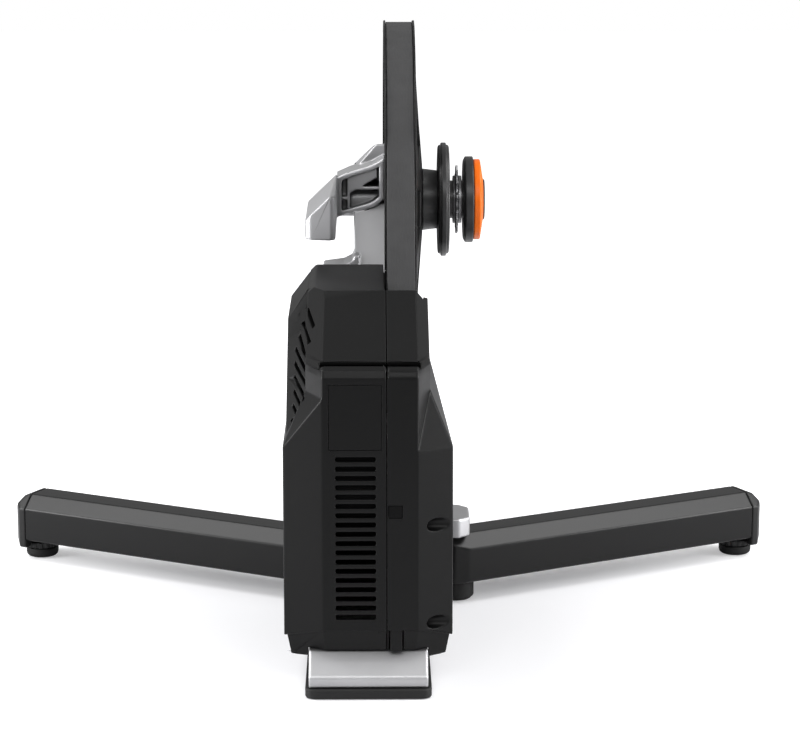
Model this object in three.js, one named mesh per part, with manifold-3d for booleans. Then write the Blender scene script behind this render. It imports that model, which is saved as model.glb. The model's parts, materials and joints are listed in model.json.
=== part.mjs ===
// Direct drive bike trainer, in millimetres.
// X runs to the driving side, Y away from the casing's front, Z up.
// While it is built, X is zero midway between the leg pivots, Y is zero at the axle, and Z is zero
// on the floor. At the end the whole trainer moves so that its box is centred over the origin.
import * as THREE from 'three';
import { mergeVertices } from 'three/addons/utils/BufferGeometryUtils.js';
import Module from 'manifold-3d';

const wasm = await Module();
wasm.setup();

// Shared clearances, walls and round steps
const gap = 0.3;
const overrun = 2;
const castWall = 5;
const fineSteps = 12;
const midSteps = 20;
const wideSteps = 36;
const cornerSteps = 3;
const degree = Math.PI / 180;

// Axle
const axleHeight = 345.8;
const axleRadius = 8.5;
const axleBoreRadius = 6.3;
const axleSeatRadius = 10;
const dropoutWidth = 142;
const axleLeftEnd = -56.5;
const axleRightEnd = axleLeftEnd + dropoutWidth;
const adapterRadius = 15;
const adapterFlange = 4;
const axleCapRadius = 18.5;
const axleCapFlange = 4;
const axleCapStemRadius = 12;
const axleCapStem = 6.6;
const adapterEase = 1;
const adapterStemRadius = 12;

// Drive pulley and belt
const pulleyRadius = 160.4;
const pulleyLeft = -5.2;
const flangeThickness = 1.8;
const beltWidth = 23.1;
const beltSideGap = 0.3;
const beltThickness = 3;
const beltInset = 2.2;
const rimDepth = 9;
const pulleyWebThickness = 5;
const pulleyHubRadius = 24;
const pulleyBossRadius = 33;
const pulleyBossRight = 29.4;
const pulleyHubLeft = -2.7;
const windowCount = 8;
const windowInnerRadius = 62;
const windowOuterRadius = 126;
const windowAngle = 29 * degree;
const webShares = [0.3, 0.65, 1];
const webCurve = 1.3;
const clutchSeatDepth = 8.2;
const beltSteps = 36;
const pinionWrapSteps = 12;
const bearingOuterRadius = 15;
const bearingWidth = 7;

// Freewheel hub, guards, sprocket and knob
const clutchOuterRadius = 19.7;
const clutchInnerRadius = 13.3;
const clutchWidth = 7.6;
const hubTubeRadius = 27.7;
const hubTubeEndRadius = 26.1;
const hubTubeRight = 43.2;
const splineRadius = 17;
const splineRight = 75.1;
const hubEndDepth = 2.2;
const innerGuardRadius = 51;
const innerGuardLeft = 43.5;
const innerGuardRight = 53.4;
const guardRib = 2;
const guardRibInset = 2.6;
const guardEase = 1.2;
const sprocketTeeth = 14;
const chainPitch = 12.7;
const chainRollerRadius = 3.87;
const sprocketTipRadius = 30.7;
const sprocketThickness = 2;
const sprocketCentre = 60.4;
const toothSeatAngle = 60 * degree;
const toothTipAngle = 5 * degree;
const carrierRadius = 21.4;
const carrierSeatRadius = 19.2;
const carrierLeft = 57;
const carrierRight = 64.6;
const outerGuardLeft = 66.2;
const outerGuardRight = 75.1;
const outerGuardRadius = 38.6;
const outerGuardChamfer = 3.5;
const knobLeft = 75.4;
const knobShoulder = 80.4;
const knobRight = 84;
const knobRadius = 36.1;
const knobFaceRadius = 19.4;
const knobEase = 1;

// Flywheel, its shaft, pinion and idler
const flywheelY = -258;
const flywheelZ = 182;
const flywheelRadius = 90;
const flywheelLeft = -54;
const flywheelRight = -12;
const flywheelRim = 24;
const flywheelWeb = 10;
const flywheelHubRadius = 20;
const flywheelHubLeft = -30;
const pinionSeatRadius = 19.7;
const pinionFlangeRadius = 25;
const shaftLeft = -70;
const shaftRight = 31;
const shaftBearingRadius = 17.5;
const idlerRadius = 14;
const idlerAlong = 57;
const idlerStudRadius = 5;

// Brake inside the flywheel's cup
const poleCount = 4;
const statorLeft = -59.7;
const statorRight = -33;
const statorCoreLeft = -52;
const statorCoreRadius = 34;
const statorBoreRadius = 23;
const poleTipRadius = 63;
const poleWidth = 13;
const coilThickness = 7;
const coilInset = 2;

// Casing
const casingCentre = -19.5;
const casingWall = 3;
const casingBottom = 35;
const casingTop = 307;
const casingRear = -117;
const casingFront = -355;
const seamX = -4.7;
const seamGap = 0.3;
const panelCentre = -17.7;
const panelHalf = 37.7;
const bodyHalf = 67.3;
const upperHalf = 49.2;
const bodyBevelDepth = 16;
const upperBevelDepth = 30;
const skirtTop = 53;
const skirtInset = 2.4;
const skirtTaper = 3;
const skirtFoot = 8;
const skirtDrop = 8;
const rearShoulderLow = 155;
const shoulderLow = 199;
const shoulderHigh = 241;
const coverTop = 265.8;
const coverRound = 8;
const roundShare = 0.3;
const grooveDepth = 8;
const grooveBack = -335.5;
const slopeStart = -334;
const slopeStartZ = 267.4;
const slopeEnd = -245;
const edgeChamfer = 5;
const crestBevelDepth = 17;
const housingHalf = 65.4;
const housingTuck = 9;
const housingTuckFront = 18;
const housingSetback = 4;
const housingFrontY = -321;
const housingLean = 1.05;
const housingChamferZ = 281.8;
const ridgeZ = 302;
const ridgeHalf = 50;
const ridgeInner = 46;
const crestHalf = 35;
const crestInner = 34;
const rearCornerX = 12;
const rearCornerY = 12;

// Vents, badge, window, notch and screw wells of the casing
const frontVentCount = 18;
const frontVentTop = 192.7;
const frontVentPitch = 7.56;
const frontVentHeight = 3.7;
const frontVentLeft = -45.2;
const frontVentRight = -13.4;
const sideVentCount = 9;
const sideVentTop = 288.2;
const sideVentPitch = 9.6;
const sideVentHeight = 4;
const sideVentDepth = 14;
const sideVentShare = 0.55;
const sideVentPlaceShare = 0.6;
const sideVentTilt = 33 * degree;
const badgeLeft = -50.4;
const badgeRight = -8.5;
const badgeLow = 200;
const badgeHigh = 252.6;
const badgeRecess = 1.4;
const badgeThickness = 0.9;
const windowLeft = -3.6;
const windowRight = 7.7;
const windowLow = 145;
const windowHigh = 155.5;
const windowRecess = 1.6;
const windowThickness = 0.9;
const notchLeft = -3.2;
const notchRight = 8.4;
const tabLow = 31.7;
const tabSetback = 1.8;
const tabThickness = 2.4;
const tabSide = 1;
const wellRadius = 5.3;
const wellY = -345.6;
const wellUpperZ = 137.6;
const wellLowerZ = 57.5;
const wellFloor = 14;
const wellWall = 3.5;
const screwRadius = 2.1;
const screwHeadRadius = 4;
const screwHeadLength = 3.4;
const screwLength = 24;
const screwBossLeft = -11.4;
const screwBossHalf = 7;

// Pulley slot and belt guard
const slotFront = -243;
const slotLeftGap = 1.4;
const slotRight = 25.8;
const guardWall = 3.2;
const guardRearY = 85;
const guardRearRise = 10.6;
const guardLowY = 20;
const guardLowRoom = 17.9;
const guardMidY = 60;
const guardMidRoom = 6.4;
const guardFrontRoom = 30.4;
const guardTopZ = 262;
const guardRearTopZ = 226;
const guardRearTopY = 70;

// Base casting
const noseFront = -364;
const noseHalf = 47.5;
const padTop = 8;
const noseFaceTop = 17.2;
const spineTop = casingBottom - gap;
const blockHalf = 32;
const blockRear = -20;
const earTop = 79;
const earEnd = 70;
const earRear = -64;
const earCorner = 9;
const spinePocketHalf = 39;
const spinePocketCount = 3;
const spinePocketDepth = 19;
const spinePocketFront = -330;
const padHalf = 50.4;
const padFront = -367;
const padLength = 110;
const padCorner = 8;

// Upright casting
const columnLeft = -59;
const columnRight = -8;
const columnDrop = 51.8;
const columnRear = -20;
const stemLeft = -31.3;
const flareRise = 11;
const flareShares = [[0, 1], [0.07, 0.55], [0.32, 0.23], [1, 0]];
const pocketRows = 3;
const columnFloor = 20;
const columnSlope = 54;
const stemFront = -60;
const stemRear = 18;
const headRise = 50.5;
const headBack = 42;
const headRadius = 50;
const headRight = -3;
const headSlopeX = -10.9;
const headSlopeRise = 27;
const headFront = 3;
const trayFront = -26;
const trayBack = 16;
const trayWall = 4.5;
const trayRib = 3;
const ribLeft = -38;
const ribSetback = 3;
const leftCellFloor = -13;
const gussetLowRise = 7;
const gussetHighRise = 23;
const rimLowerShares = [[0, 0.07], [0.19, 0.105], [0.614, 0.176], [0.795, 0.222], [0.96, 0.314]];
const rimUpperShares = [[0.96, 0.852], [0.72, 0.765], [0.5, 0.72], [0.26, 0.674], [0, 0.599]];
const bossRadius = 15;
const gripFront = -128;
const gripRear = -17;
const gripLeft = -73;
const gripRight = -47;
const gripFrontRise = 20.9;
const gripRearRise = 25.6;
const gripDrop = 17;
const gripShoulderRise = 0.7;
const gripLift = 0.9;
const gripFrontBevel = 4;

// Legs and feet
const pivotX = 58.5;
const pivotY = -88;
const legAngle = 27.7;
const legReach = 319.5;
const footInset = 15.7;
const legWidth = 48.5;
const legBottom = 18.5;
const legTop = 61.5;
const legChamfer = 11.8;
const legEdge = 2;
const legWall = 3;
const legSolidRoot = 26;
const capLength = 13.5;
const capPlug = 12;
const capSkirt = 7;
const capBevel = 7;
const capEase = 2;
const plugEdge = 6;
const bushRadius = 7.7;
const boltRadius = 5;
const boltHeadRadius = 8;
const boltHeadHeight = 5;
const boltHeadLow = 7;
const boltTop = 75;
const rootFootRadius = 16;
const rootFootRound = 3;
const footRadius = 15;
const footPadHeight = 9;
const footPadRound = 4;
const wheelTop = 17.8;
const wheelCollarRadius = 12.5;
const wheelCollar = 3;
const wheelRibs = 16;
const wheelRibDepth = 0.9;
const ribShares = [[0, 0], [0.45, 0], [0.55, 1], [0.9, 1]];
const studRadius = 4;
const studTop = 42;
const studBossRadius = 7;

// Bearing plates, board, socket and bolts
const plateThickness = 7;
const leftPlateX = -67;
const rightPlateX = 22.5;
const plateFront = -318;
const plateRear = -180;
const plateBossRadius = 25;
const plateFootHeight = 8;
const plateFootWidth = 12;
const plateWindowInset = 40;
const plateBoltRadius = 2.5;
const plateBoltHeadRadius = 4.5;
const plateBoltDepth = 8;
const boardSetback = 7.8;
const boardThickness = 1.6;
const boardFront = -235;
const boardRear = -150;
const boardLow = 66;
const boardHigh = 122;
const boardPostRadius = 4;
const boardPostInset = 7;
const chipHeight = 4;
const chipSize = 12;
const chipCount = 3;
const socketInset = 12.8;
const socketZ = 100;
const socketRadius = 6;
const socketBoreRadius = 3.6;
const socketLength = 12;
const socketFlangeRadius = 8;
const socketFlange = 1.2;
const socketBoreDepth = 10;
const frameBoltRadius = 4;
const frameBoltHeadRadius = 7;
const frameBoltHead = 5;
const frameBoltLength = 36;
const frameBoltX = -20;
const frameBoltYs = [-95, -42];
const frameBoltSeat = 60;

// Solids from geometry, and geometry from solids
function signedVolume(positions, triangles) {
  const a = new THREE.Vector3();
  const b = new THREE.Vector3();
  const c = new THREE.Vector3();
  let total = 0;
  for (let i = 0; i < triangles.length; i += 3) {
    a.fromArray(positions, 3 * triangles[i]);
    b.fromArray(positions, 3 * triangles[i + 1]);
    c.fromArray(positions, 3 * triangles[i + 2]);
    total += a.dot(b.cross(c));
  }
  return total;
}

function toSolid(geometry) {
  const bare = geometry.clone();
  bare.deleteAttribute('normal');
  bare.deleteAttribute('uv');
  const welded = mergeVertices(bare);
  const positions = welded.attributes.position.array;
  const triangles = [];
  const index = welded.index.array;
  for (let i = 0; i < index.length; i += 3) {
    const [a, b, c] = [index[i], index[i + 1], index[i + 2]];
    if (a !== b && b !== c && c !== a) triangles.push(a, b, c);
  }
  if (signedVolume(positions, triangles) < 0) triangles.reverse();
  const vertProperties = new Float32Array(positions);
  const triVerts = new Uint32Array(triangles);
  return new wasm.Manifold(new wasm.Mesh({ numProp: 3, vertProperties, triVerts }));
}

function toGeometry(solid) {
  const { vertProperties, triVerts } = solid.getMesh();
  const geometry = new THREE.BufferGeometry();
  geometry.setAttribute('position', new THREE.BufferAttribute(vertProperties, 3));
  geometry.setIndex(new THREE.BufferAttribute(triVerts, 1));
  geometry.computeVertexNormals();
  return geometry;
}

const join = (first, ...rest) => rest.reduce((whole, piece) => whole.add(piece), first);
const cut = (first, ...rest) => rest.reduce((whole, piece) => whole.subtract(piece), first);

// Outlines are lists of [across, up] points, extruded along one axis
function extruded(outline, from, to, basis) {
  const shape = new THREE.Shape(outline.map(([u, v]) => new THREE.Vector2(u, v)));
  const geometry = new THREE.ExtrudeGeometry(shape, { depth: to - from, bevelEnabled: false });
  geometry.translate(0, 0, from);
  return toSolid(geometry.applyMatrix4(basis));
}

const axisX = new THREE.Vector3(1, 0, 0);
const axisY = new THREE.Vector3(0, 1, 0);
const axisZ = new THREE.Vector3(0, 0, 1);
const basisAlongX = new THREE.Matrix4().makeBasis(axisY, axisZ, axisX);
const basisAlongY = new THREE.Matrix4().makeBasis(axisX, axisZ, axisY.clone().negate());
const basisAlongZ = new THREE.Matrix4();
const alongX = (outline, from, to) => extruded(outline, from, to, basisAlongX);
const alongY = (outline, from, to) => extruded(outline, -to, -from, basisAlongY);
const alongZ = (outline, from, to) => extruded(outline, from, to, basisAlongZ);
const box = (x0, x1, y0, y1, z0, z1) => alongZ([[x0, y0], [x1, y0], [x1, y1], [x0, y1]], z0, z1);

// Turned pieces: a closed profile of [along, radius] points round an axis parallel to X or Z
function turned(profile, steps) {
  const points = [...profile, profile[0]].map(([along, radius]) => new THREE.Vector2(radius, along));
  return new THREE.LatheGeometry(points, steps);
}

function turnedX(profile, steps, y = 0, z = 0) {
  return toSolid(turned(profile, steps).rotateZ(-Math.PI / 2).translate(0, y, z));
}

function turnedZ(profile, steps, x = 0, y = 0) {
  return toSolid(turned(profile, steps).rotateX(Math.PI / 2).translate(x, y, 0));
}

const ring = (from, to, inner, outer) => [[from, inner], [from, outer], [to, outer], [to, inner]];
const rodX = (from, to, radius, steps, y, z) => turnedX(ring(from, to, 0, radius), steps, y, z);
const rodZ = (from, to, radius, steps, x, y) => turnedZ(ring(from, to, 0, radius), steps, x, y);

function rodY(from, to, radius, steps, x, z) {
  return toSolid(turned(ring(from, to, 0, radius), steps).translate(x, 0, z));
}

// Turned pieces on the axle and on the flywheel's shaft
const onAxle = (profile, steps = midSteps) => turnedX(profile, steps, 0, axleHeight);
const onShaft = (profile, steps = midSteps) => turnedX(profile, steps, flywheelY, flywheelZ);

// A corner arc of points round a centre, and an outline with every corner rounded
function arc(centreU, centreV, radius, start, end, steps) {
  const points = [];
  for (let i = 0; i <= steps; i += 1) {
    const angle = start + (end - start) * i / steps;
    points.push([centreU + radius * Math.cos(angle), centreV + radius * Math.sin(angle)]);
  }
  return points;
}

function roundedRectangle(u0, u1, v0, v1, radius) {
  const quarter = Math.PI / 2;
  return [
    ...arc(u1 - radius, v0 + radius, radius, -quarter, 0, cornerSteps),
    ...arc(u1 - radius, v1 - radius, radius, 0, quarter, cornerSteps),
    ...arc(u0 + radius, v1 - radius, radius, quarter, 2 * quarter, cornerSteps),
    ...arc(u0 + radius, v0 + radius, radius, 2 * quarter, 3 * quarter, cornerSteps),
  ];
}

// A solid lofted through plan outlines with equal counts of [x, y, lift] points, from the lowest up
function loft(sections) {
  const count = sections[0].outline.length;
  const positions = sections.flatMap(({ z, outline }) => (
    outline.flatMap(([x, y, lift = 0]) => [x, y, z + lift])));
  const index = [];
  for (let level = 0; level + 1 < sections.length; level += 1) {
    for (let i = 0; i < count; i += 1) {
      const a = level * count + i;
      const b = level * count + (i + 1) % count;
      index.push(a, b, b + count, a, b + count, a + count);
    }
  }
  const flat = (outline) => outline.map(([x, y]) => new THREE.Vector2(x, y));
  const topStart = (sections.length - 1) * count;
  for (const [a, b, c] of THREE.ShapeUtils.triangulateShape(flat(sections[0].outline), [])) {
    index.push(c, b, a);
  }
  for (const [a, b, c] of THREE.ShapeUtils.triangulateShape(flat(sections.at(-1).outline), [])) {
    index.push(topStart + a, topStart + b, topStart + c);
  }
  const geometry = new THREE.BufferGeometry();
  geometry.setAttribute('position', new THREE.Float32BufferAttribute(positions, 3));
  geometry.setIndex(index);
  return toSolid(geometry);
}

// Finishes
const finish = {
  castSilver: { color: 0xa9abad, roughness: 0.55, metalness: 0.7 },
  blackPlastic: { color: 0x232426, roughness: 0.5, metalness: 0 },
  darkPaint: { color: 0x3a3b3d, roughness: 0.45, metalness: 0.1 },
  blackRubber: { color: 0x1c1c1d, roughness: 0.85, metalness: 0 },
  beltRubber: { color: 0x3c3d3e, roughness: 0.7, metalness: 0 },
  steel: { color: 0xb8babd, roughness: 0.35, metalness: 1 },
  darkSteel: { color: 0x4a4b4e, roughness: 0.4, metalness: 0.8 },
  orange: { color: 0xf0701a, roughness: 0.4, metalness: 0 },
  copper: { color: 0xb06a3a, roughness: 0.4, metalness: 1 },
  boardGreen: { color: 0x1f5a3a, roughness: 0.6, metalness: 0 },
};

const trainer = new THREE.Group();

function addPiece(name, solid, look, parent = trainer) {
  const mesh = new THREE.Mesh(toGeometry(solid), new THREE.MeshStandardMaterial(finish[look]));
  mesh.name = name;
  parent.add(mesh);
  return mesh;
}

// An outline moved inwards by a distance, corner by corner; the outline runs anticlockwise
function inset(outline, distance) {
  const count = outline.length;
  return outline.map(([u, v, ...rest], i) => {
    const [pu, pv] = outline[(i + count - 1) % count];
    const [nu, nv] = outline[(i + 1) % count];
    const before = new THREE.Vector2(u - pu, v - pv).normalize();
    const after = new THREE.Vector2(nu - u, nv - v).normalize();
    const middle = new THREE.Vector2(-before.y - after.y, before.x + after.x).normalize();
    const reach = distance / (-middle.x * after.y + middle.y * after.x);
    return [u + middle.x * reach, v + middle.y * reach, ...rest];
  });
}

// Base casting: nose, ribbed spine, block and the bar with both leg ears
const castFront = casingRear + gap;
const noseLow = padTop + gap;
const blockLow = noseLow + castWall;
const castLow = earTop + gap;
const plateBoltPlaces = [
  [leftPlateX + plateThickness + plateFootWidth / 2, (plateFront + plateRear) / 2],
  [rightPlateX - plateFootWidth / 2, (plateFront + plateRear) / 2],
];

function frameBoltHole(y) {
  const wide = frameBoltHeadRadius + gap;
  const narrow = frameBoltRadius + gap;
  const top = frameBoltSeat + frameBoltLength + gap;
  return turnedZ([
    [0, 0], [0, wide], [frameBoltSeat, wide], [frameBoltSeat, narrow], [top, narrow], [top, 0],
  ], fineSteps, frameBoltX, y);
}

function baseCasting() {
  const noseSlope = spineTop - noseFaceTop;
  const spine = alongX([
    [noseFront, noseLow], [castFront + overrun, noseLow], [castFront + overrun, spineTop],
    [noseFront + noseSlope, spineTop], [noseFront, noseFaceTop],
  ], casingCentre - noseHalf, casingCentre + noseHalf);
  const rowLength = (castFront - spinePocketFront) / spinePocketCount;
  const spinePockets = [];
  for (let row = 0; row < spinePocketCount; row += 1) {
    const y = spinePocketFront + row * rowLength;
    for (const side of [-1, 1]) {
      const ends = [casingCentre + side * castWall / 2, casingCentre + side * spinePocketHalf];
      spinePockets.push(box(Math.min(...ends), Math.max(...ends), y, y + rowLength - castWall,
        noseLow - overrun, noseLow + spinePocketDepth));
    }
  }
  const block = box(-blockHalf, blockHalf, castFront, blockRear, blockLow, earTop);
  const blockPocketLength = (blockRear - castFront - 3 * castWall) / 2;
  const blockPockets = [castFront + castWall, blockRear - castWall - blockPocketLength].map((y) => box(
    frameBoltX + frameBoltHeadRadius + castWall, blockHalf - castWall, y, y + blockPocketLength,
    blockLow - overrun, earTop - castWall));
  const ears = alongZ([
    [-earEnd, castFront + earCorner], [-earEnd + earCorner, castFront],
    [earEnd - earCorner, castFront], [earEnd, castFront + earCorner], [earEnd, earRear - earCorner],
    [earEnd - earCorner, earRear], [-earEnd + earCorner, earRear], [-earEnd, earRear - earCorner],
  ], legTop + gap, earTop);
  const pivotHoles = [-1, 1].map((side) => rodZ(legTop - overrun, boltTop + gap, boltRadius + gap,
    fineSteps, side * pivotX, pivotY));
  const plateHoles = plateBoltPlaces.map(([x, y]) => rodZ(spineTop - plateBoltDepth, spineTop + overrun,
    plateBoltRadius + gap, fineSteps, x, y));
  return cut(join(spine, block, ears), ...spinePockets, ...blockPockets, ...pivotHoles, ...plateHoles,
    ...frameBoltYs.map(frameBoltHole));
}

function frameBolt(y) {
  const low = frameBoltSeat - gap - frameBoltHead;
  const seat = frameBoltSeat - gap;
  const top = frameBoltSeat + frameBoltLength;
  return turnedZ([
    [low, 0], [low, frameBoltHeadRadius], [seat, frameBoltHeadRadius], [seat, frameBoltRadius],
    [top, frameBoltRadius], [top, 0],
  ], fineSteps, frameBoltX, y);
}

// Heights of the upright casting, all taken from the axle
const columnTop = axleHeight - columnDrop;
const columnSlopeLow = columnTop - columnSlope;
const headTop = axleHeight + headRise;
const headSlopeZ = axleHeight + headSlopeRise;
const gussetLow = axleHeight + gussetLowRise;
const gussetHigh = axleHeight + gussetHighRise;
const gripBottom = axleHeight - gripDrop;
const gripShoulderZ = axleHeight + gripShoulderRise;
const gripFrontTop = axleHeight + gripFrontRise;
const gripRearTop = axleHeight + gripRearRise;

// Upright casting: pocketed foot, stem, ribbed tray open to the front, axle boss and carry handle
function rimPoint([across, up]) {
  return [gripRight + across * (headRight - gripRight), gripBottom + up * (headTop - gripBottom)];
}

function uprightFoot() {
  const outline = [
    [castFront, castLow], [columnRear, castLow], [columnRear, columnTop], [stemFront, columnTop],
    [castFront, columnSlopeLow],
  ];
  const floor = castLow + columnFloor;
  const inner = [columnLeft + castWall, columnRight - castWall];
  const hollow = join(alongX(inset(outline, castWall), ...inner),
    box(...inner, columnRear - 2 * castWall, columnRear + overrun, castLow + castWall,
      columnTop - castWall)).intersect(box(...inner, castFront, columnRear + overrun, floor, columnTop));
  const rowHeight = (columnTop - floor) / pocketRows;
  const ribs = [];
  for (let row = 1; row < pocketRows; row += 1) {
    const z = floor + row * rowHeight - castWall;
    ribs.push(box(columnLeft, columnRight, castFront, columnRear, z, z + castWall));
  }
  const solid = alongX(outline, columnLeft, columnRight);
  return join(solid.subtract(hollow), ...ribs.map((rib) => rib.intersect(solid)));
}

function gripBar() {
  const section = alongY([
    [gripLeft, gripBottom + gripLift], [gripRight, gripBottom], [gripRight, gripRearTop],
    [gripLeft, gripShoulderZ],
  ], gripFront, gripRear);
  const side = alongX([
    [gripFront, gripBottom], [gripRear, gripBottom], [gripRear, gripRearTop], [gripFront, gripFrontTop],
  ], gripLeft, gripRight);
  const plan = alongZ([
    [gripLeft, gripRear], [gripLeft, gripFront + gripFrontBevel],
    [gripLeft + gripFrontBevel, gripFront], [gripRight - gripFrontBevel, gripFront],
    [gripRight, gripFront + gripFrontBevel], [gripRight, gripRear],
  ], gripBottom, gripRearTop);
  const hollow = box(gripLeft + castWall, gripRight - castWall, gripFront + 2 * castWall,
    gripRear - 2 * castWall, gripBottom - overrun, gripShoulderZ - castWall);
  return section.intersect(side).intersect(plan).subtract(hollow);
}

function uprightCasting() {
  const flare = alongY([
    [columnLeft, columnTop - castWall], [stemLeft + castWall, columnTop - castWall],
    [stemLeft + castWall, columnTop + flareRise],
    ...flareShares.map(([across, up]) => [
      stemLeft + across * (columnLeft - stemLeft), columnTop + up * flareRise,
    ]),
  ], stemFront, columnRear);
  const stem = alongX([
    [stemFront, columnTop - castWall], [columnRear, columnTop - castWall], [stemRear, axleHeight],
    [trayFront + castWall, axleHeight],
  ], stemLeft, headRight);
  const rim = [...rimLowerShares, ...rimUpperShares].map(rimPoint);
  const tray = alongY(rim, trayFront, trayBack);
  const cells = inset(rim, trayWall);
  const ribSpan = [trayFront + ribSetback, trayBack - trayWall];
  const leftSolid = box(gripRight, ribLeft, leftCellFloor, trayBack, gripBottom, headTop);
  const uprightRib = box(ribLeft, ribLeft + trayRib, ...ribSpan, gripBottom, headTop);
  const leftRib = box(gripRight, ribLeft, ...ribSpan, axleHeight + trayRib, axleHeight + 2 * trayRib);
  const rightRib = box(ribLeft, headRight, ...ribSpan, axleHeight + bossRadius - trayRib,
    axleHeight + bossRadius);
  const gusset = alongY([
    [ribLeft, gussetLow], [headSlopeX, gussetHigh], [headSlopeX, headTop], [ribLeft, headTop],
  ], ...ribSpan);
  const boss = join(rodX(ribLeft, headRight, bossRadius, midSteps, 0, axleHeight),
    box(ribLeft, headRight, 0, trayBack, gripBottom, axleHeight + bossRadius));
  const ribs = join(leftSolid, uprightRib, leftRib, rightRib, gusset, boss).intersect(tray);
  const sleeve = rodX(gripRight, headRight, bossRadius, midSteps, 0, axleHeight);
  const hollow = alongY(cells, trayFront - overrun, trayBack - trayWall);
  const head = alongY([
    [stemLeft, axleHeight], [headRight, axleHeight], [headRight, headTop], [headSlopeX, headTop],
    [stemLeft, headSlopeZ],
  ], headFront, headBack).intersect(rodX(stemLeft - overrun, headRight + overrun, headRadius,
    wideSteps, 0, axleHeight));
  const axleHole = rodX(gripRight - overrun, headRight + overrun, axleSeatRadius + gap, midSteps, 0,
    axleHeight);
  const body = join(uprightFoot(), flare, stem, tray, head);
  const boltHoles = frameBoltYs.map(frameBoltHole);
  return cut(join(body.subtract(hollow), ribs, sleeve, gripBar()), axleHole, ...boltHoles);
}

// Casing shells: a front body symmetrical about its centre, and the wider housing on the left
function frontPlan({ half, rear = half, panel = panelHalf, front, bevel, drop = 0 }) {
  return [
    [casingCentre - half, casingRear, -drop], [casingCentre - half, front + bevel, -drop],
    [panelCentre - panel, front, 0], [panelCentre + panel, front, 0],
    [casingCentre + half, front + bevel, -drop], [casingCentre + rear, casingRear, -drop],
  ];
}

function slopeY(z) {
  return slopeStart + (slopeEnd - slopeStart) * (z - slopeStartZ) / (casingTop - slopeStartZ);
}

const skirtHalf = bodyHalf - skirtInset;
const boardX = casingCentre - bodyHalf + boardSetback;
const socketX = casingCentre - bodyHalf + socketInset;
const frontSections = [
  { z: casingBottom - skirtDrop, half: skirtHalf - skirtTaper, panel: panelHalf - skirtTaper,
    front: casingFront + skirtFoot, bevel: bodyBevelDepth },
  { z: skirtTop - gap, half: skirtHalf, front: casingFront + skirtInset, bevel: bodyBevelDepth,
    drop: skirtDrop },
  { z: skirtTop, half: bodyHalf, front: casingFront, bevel: bodyBevelDepth, drop: skirtDrop },
  { z: rearShoulderLow, half: bodyHalf, front: casingFront, bevel: bodyBevelDepth },
  { z: shoulderLow, half: bodyHalf, rear: upperHalf, front: casingFront, bevel: bodyBevelDepth },
  { z: shoulderHigh, half: upperHalf, front: casingFront, bevel: upperBevelDepth },
  { z: coverTop - coverRound, half: upperHalf, front: casingFront, bevel: upperBevelDepth },
  { z: coverTop - coverRound * roundShare, half: upperHalf, front: casingFront + coverRound * roundShare,
    bevel: upperBevelDepth },
  { z: coverTop, half: upperHalf, front: casingFront + coverRound, bevel: upperBevelDepth },
  { z: slopeStartZ, half: upperHalf, front: slopeStart, bevel: upperBevelDepth },
  { z: casingTop - edgeChamfer, half: upperHalf, front: slopeY(casingTop - edgeChamfer),
    bevel: upperBevelDepth },
  { z: casingTop, half: upperHalf - edgeChamfer, front: slopeEnd, bevel: crestBevelDepth },
];

function housingPlan({ half, outY, inner, frontY }) {
  return [
    [casingCentre - half, casingRear - rearCornerY], [casingCentre - half, outY],
    [casingCentre - inner, frontY], [casingCentre, frontY], [casingCentre, casingRear],
    [casingCentre - half + rearCornerX, casingRear],
  ];
}

function housingSection(z, front, { half = housingHalf, inner = upperHalf } = {}) {
  const outY = housingFrontY + (z - shoulderLow) * housingLean;
  return { z, half, inner, outY, frontY: front + housingSetback };
}

const housingSections = [
  housingSection(shoulderLow - housingTuck, housingFrontY - housingTuckFront),
  housingSection(shoulderHigh, casingFront + upperBevelDepth),
  housingSection(slopeStartZ, slopeStart + upperBevelDepth),
  housingSection(housingChamferZ, slopeY(housingChamferZ) + upperBevelDepth),
  housingSection(ridgeZ, slopeY(ridgeZ) + upperBevelDepth, { half: ridgeHalf, inner: ridgeInner }),
  housingSection(casingTop, slopeEnd + crestBevelDepth, { half: crestHalf, inner: crestInner }),
];

function casingBody(wall) {
  const height = (z) => (z > skirtTop ? z - wall : z);
  const section = (plan) => (at) => ({ z: height(at.z), outline: inset(plan(at), wall) });
  const front = loft(frontSections.map(section(frontPlan)));
  const housing = loft(housingSections.map(section(housingPlan)));
  return front.add(housing);
}

// A vent slot across the housing's side face at one height
function sideVent(z) {
  const upper = housingSections.findIndex((section) => section.z > z);
  const [below, above] = housingSections.slice(upper - 1, upper + 1);
  const rise = (z - below.z) / (above.z - below.z);
  const between = (key) => below[key] + (above[key] - below[key]) * rise;
  const front = new THREE.Vector2(casingCentre - between('inner'), between('frontY'));
  const back = new THREE.Vector2(casingCentre - between('half'), between('outY'));
  const along = back.clone().sub(front);
  const slot = new THREE.BoxGeometry(along.length() * sideVentShare, sideVentDepth, sideVentHeight);
  slot.rotateY(-sideVentTilt).rotateZ(along.angle());
  const centre = back.lerp(front, sideVentPlaceShare);
  return toSolid(slot.translate(centre.x, centre.y, z));
}

function frontVents() {
  const slots = [];
  for (let row = 0; row < frontVentCount; row += 1) {
    const z = frontVentTop - row * frontVentPitch;
    slots.push(box(frontVentLeft, frontVentRight, casingFront - overrun,
      casingFront + casingWall + overrun, z - frontVentHeight / 2, z + frontVentHeight / 2));
  }
  return slots;
}

const guardLowZ = axleHeight - pulleyRadius - guardLowRoom;
const guardMidZ = axleHeight - pulleyRadius - guardMidRoom;
const guardRearZ = axleHeight - pulleyRadius + guardRearRise;
const guardFrontZ = axleHeight - pulleyRadius - guardFrontRoom;

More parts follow.
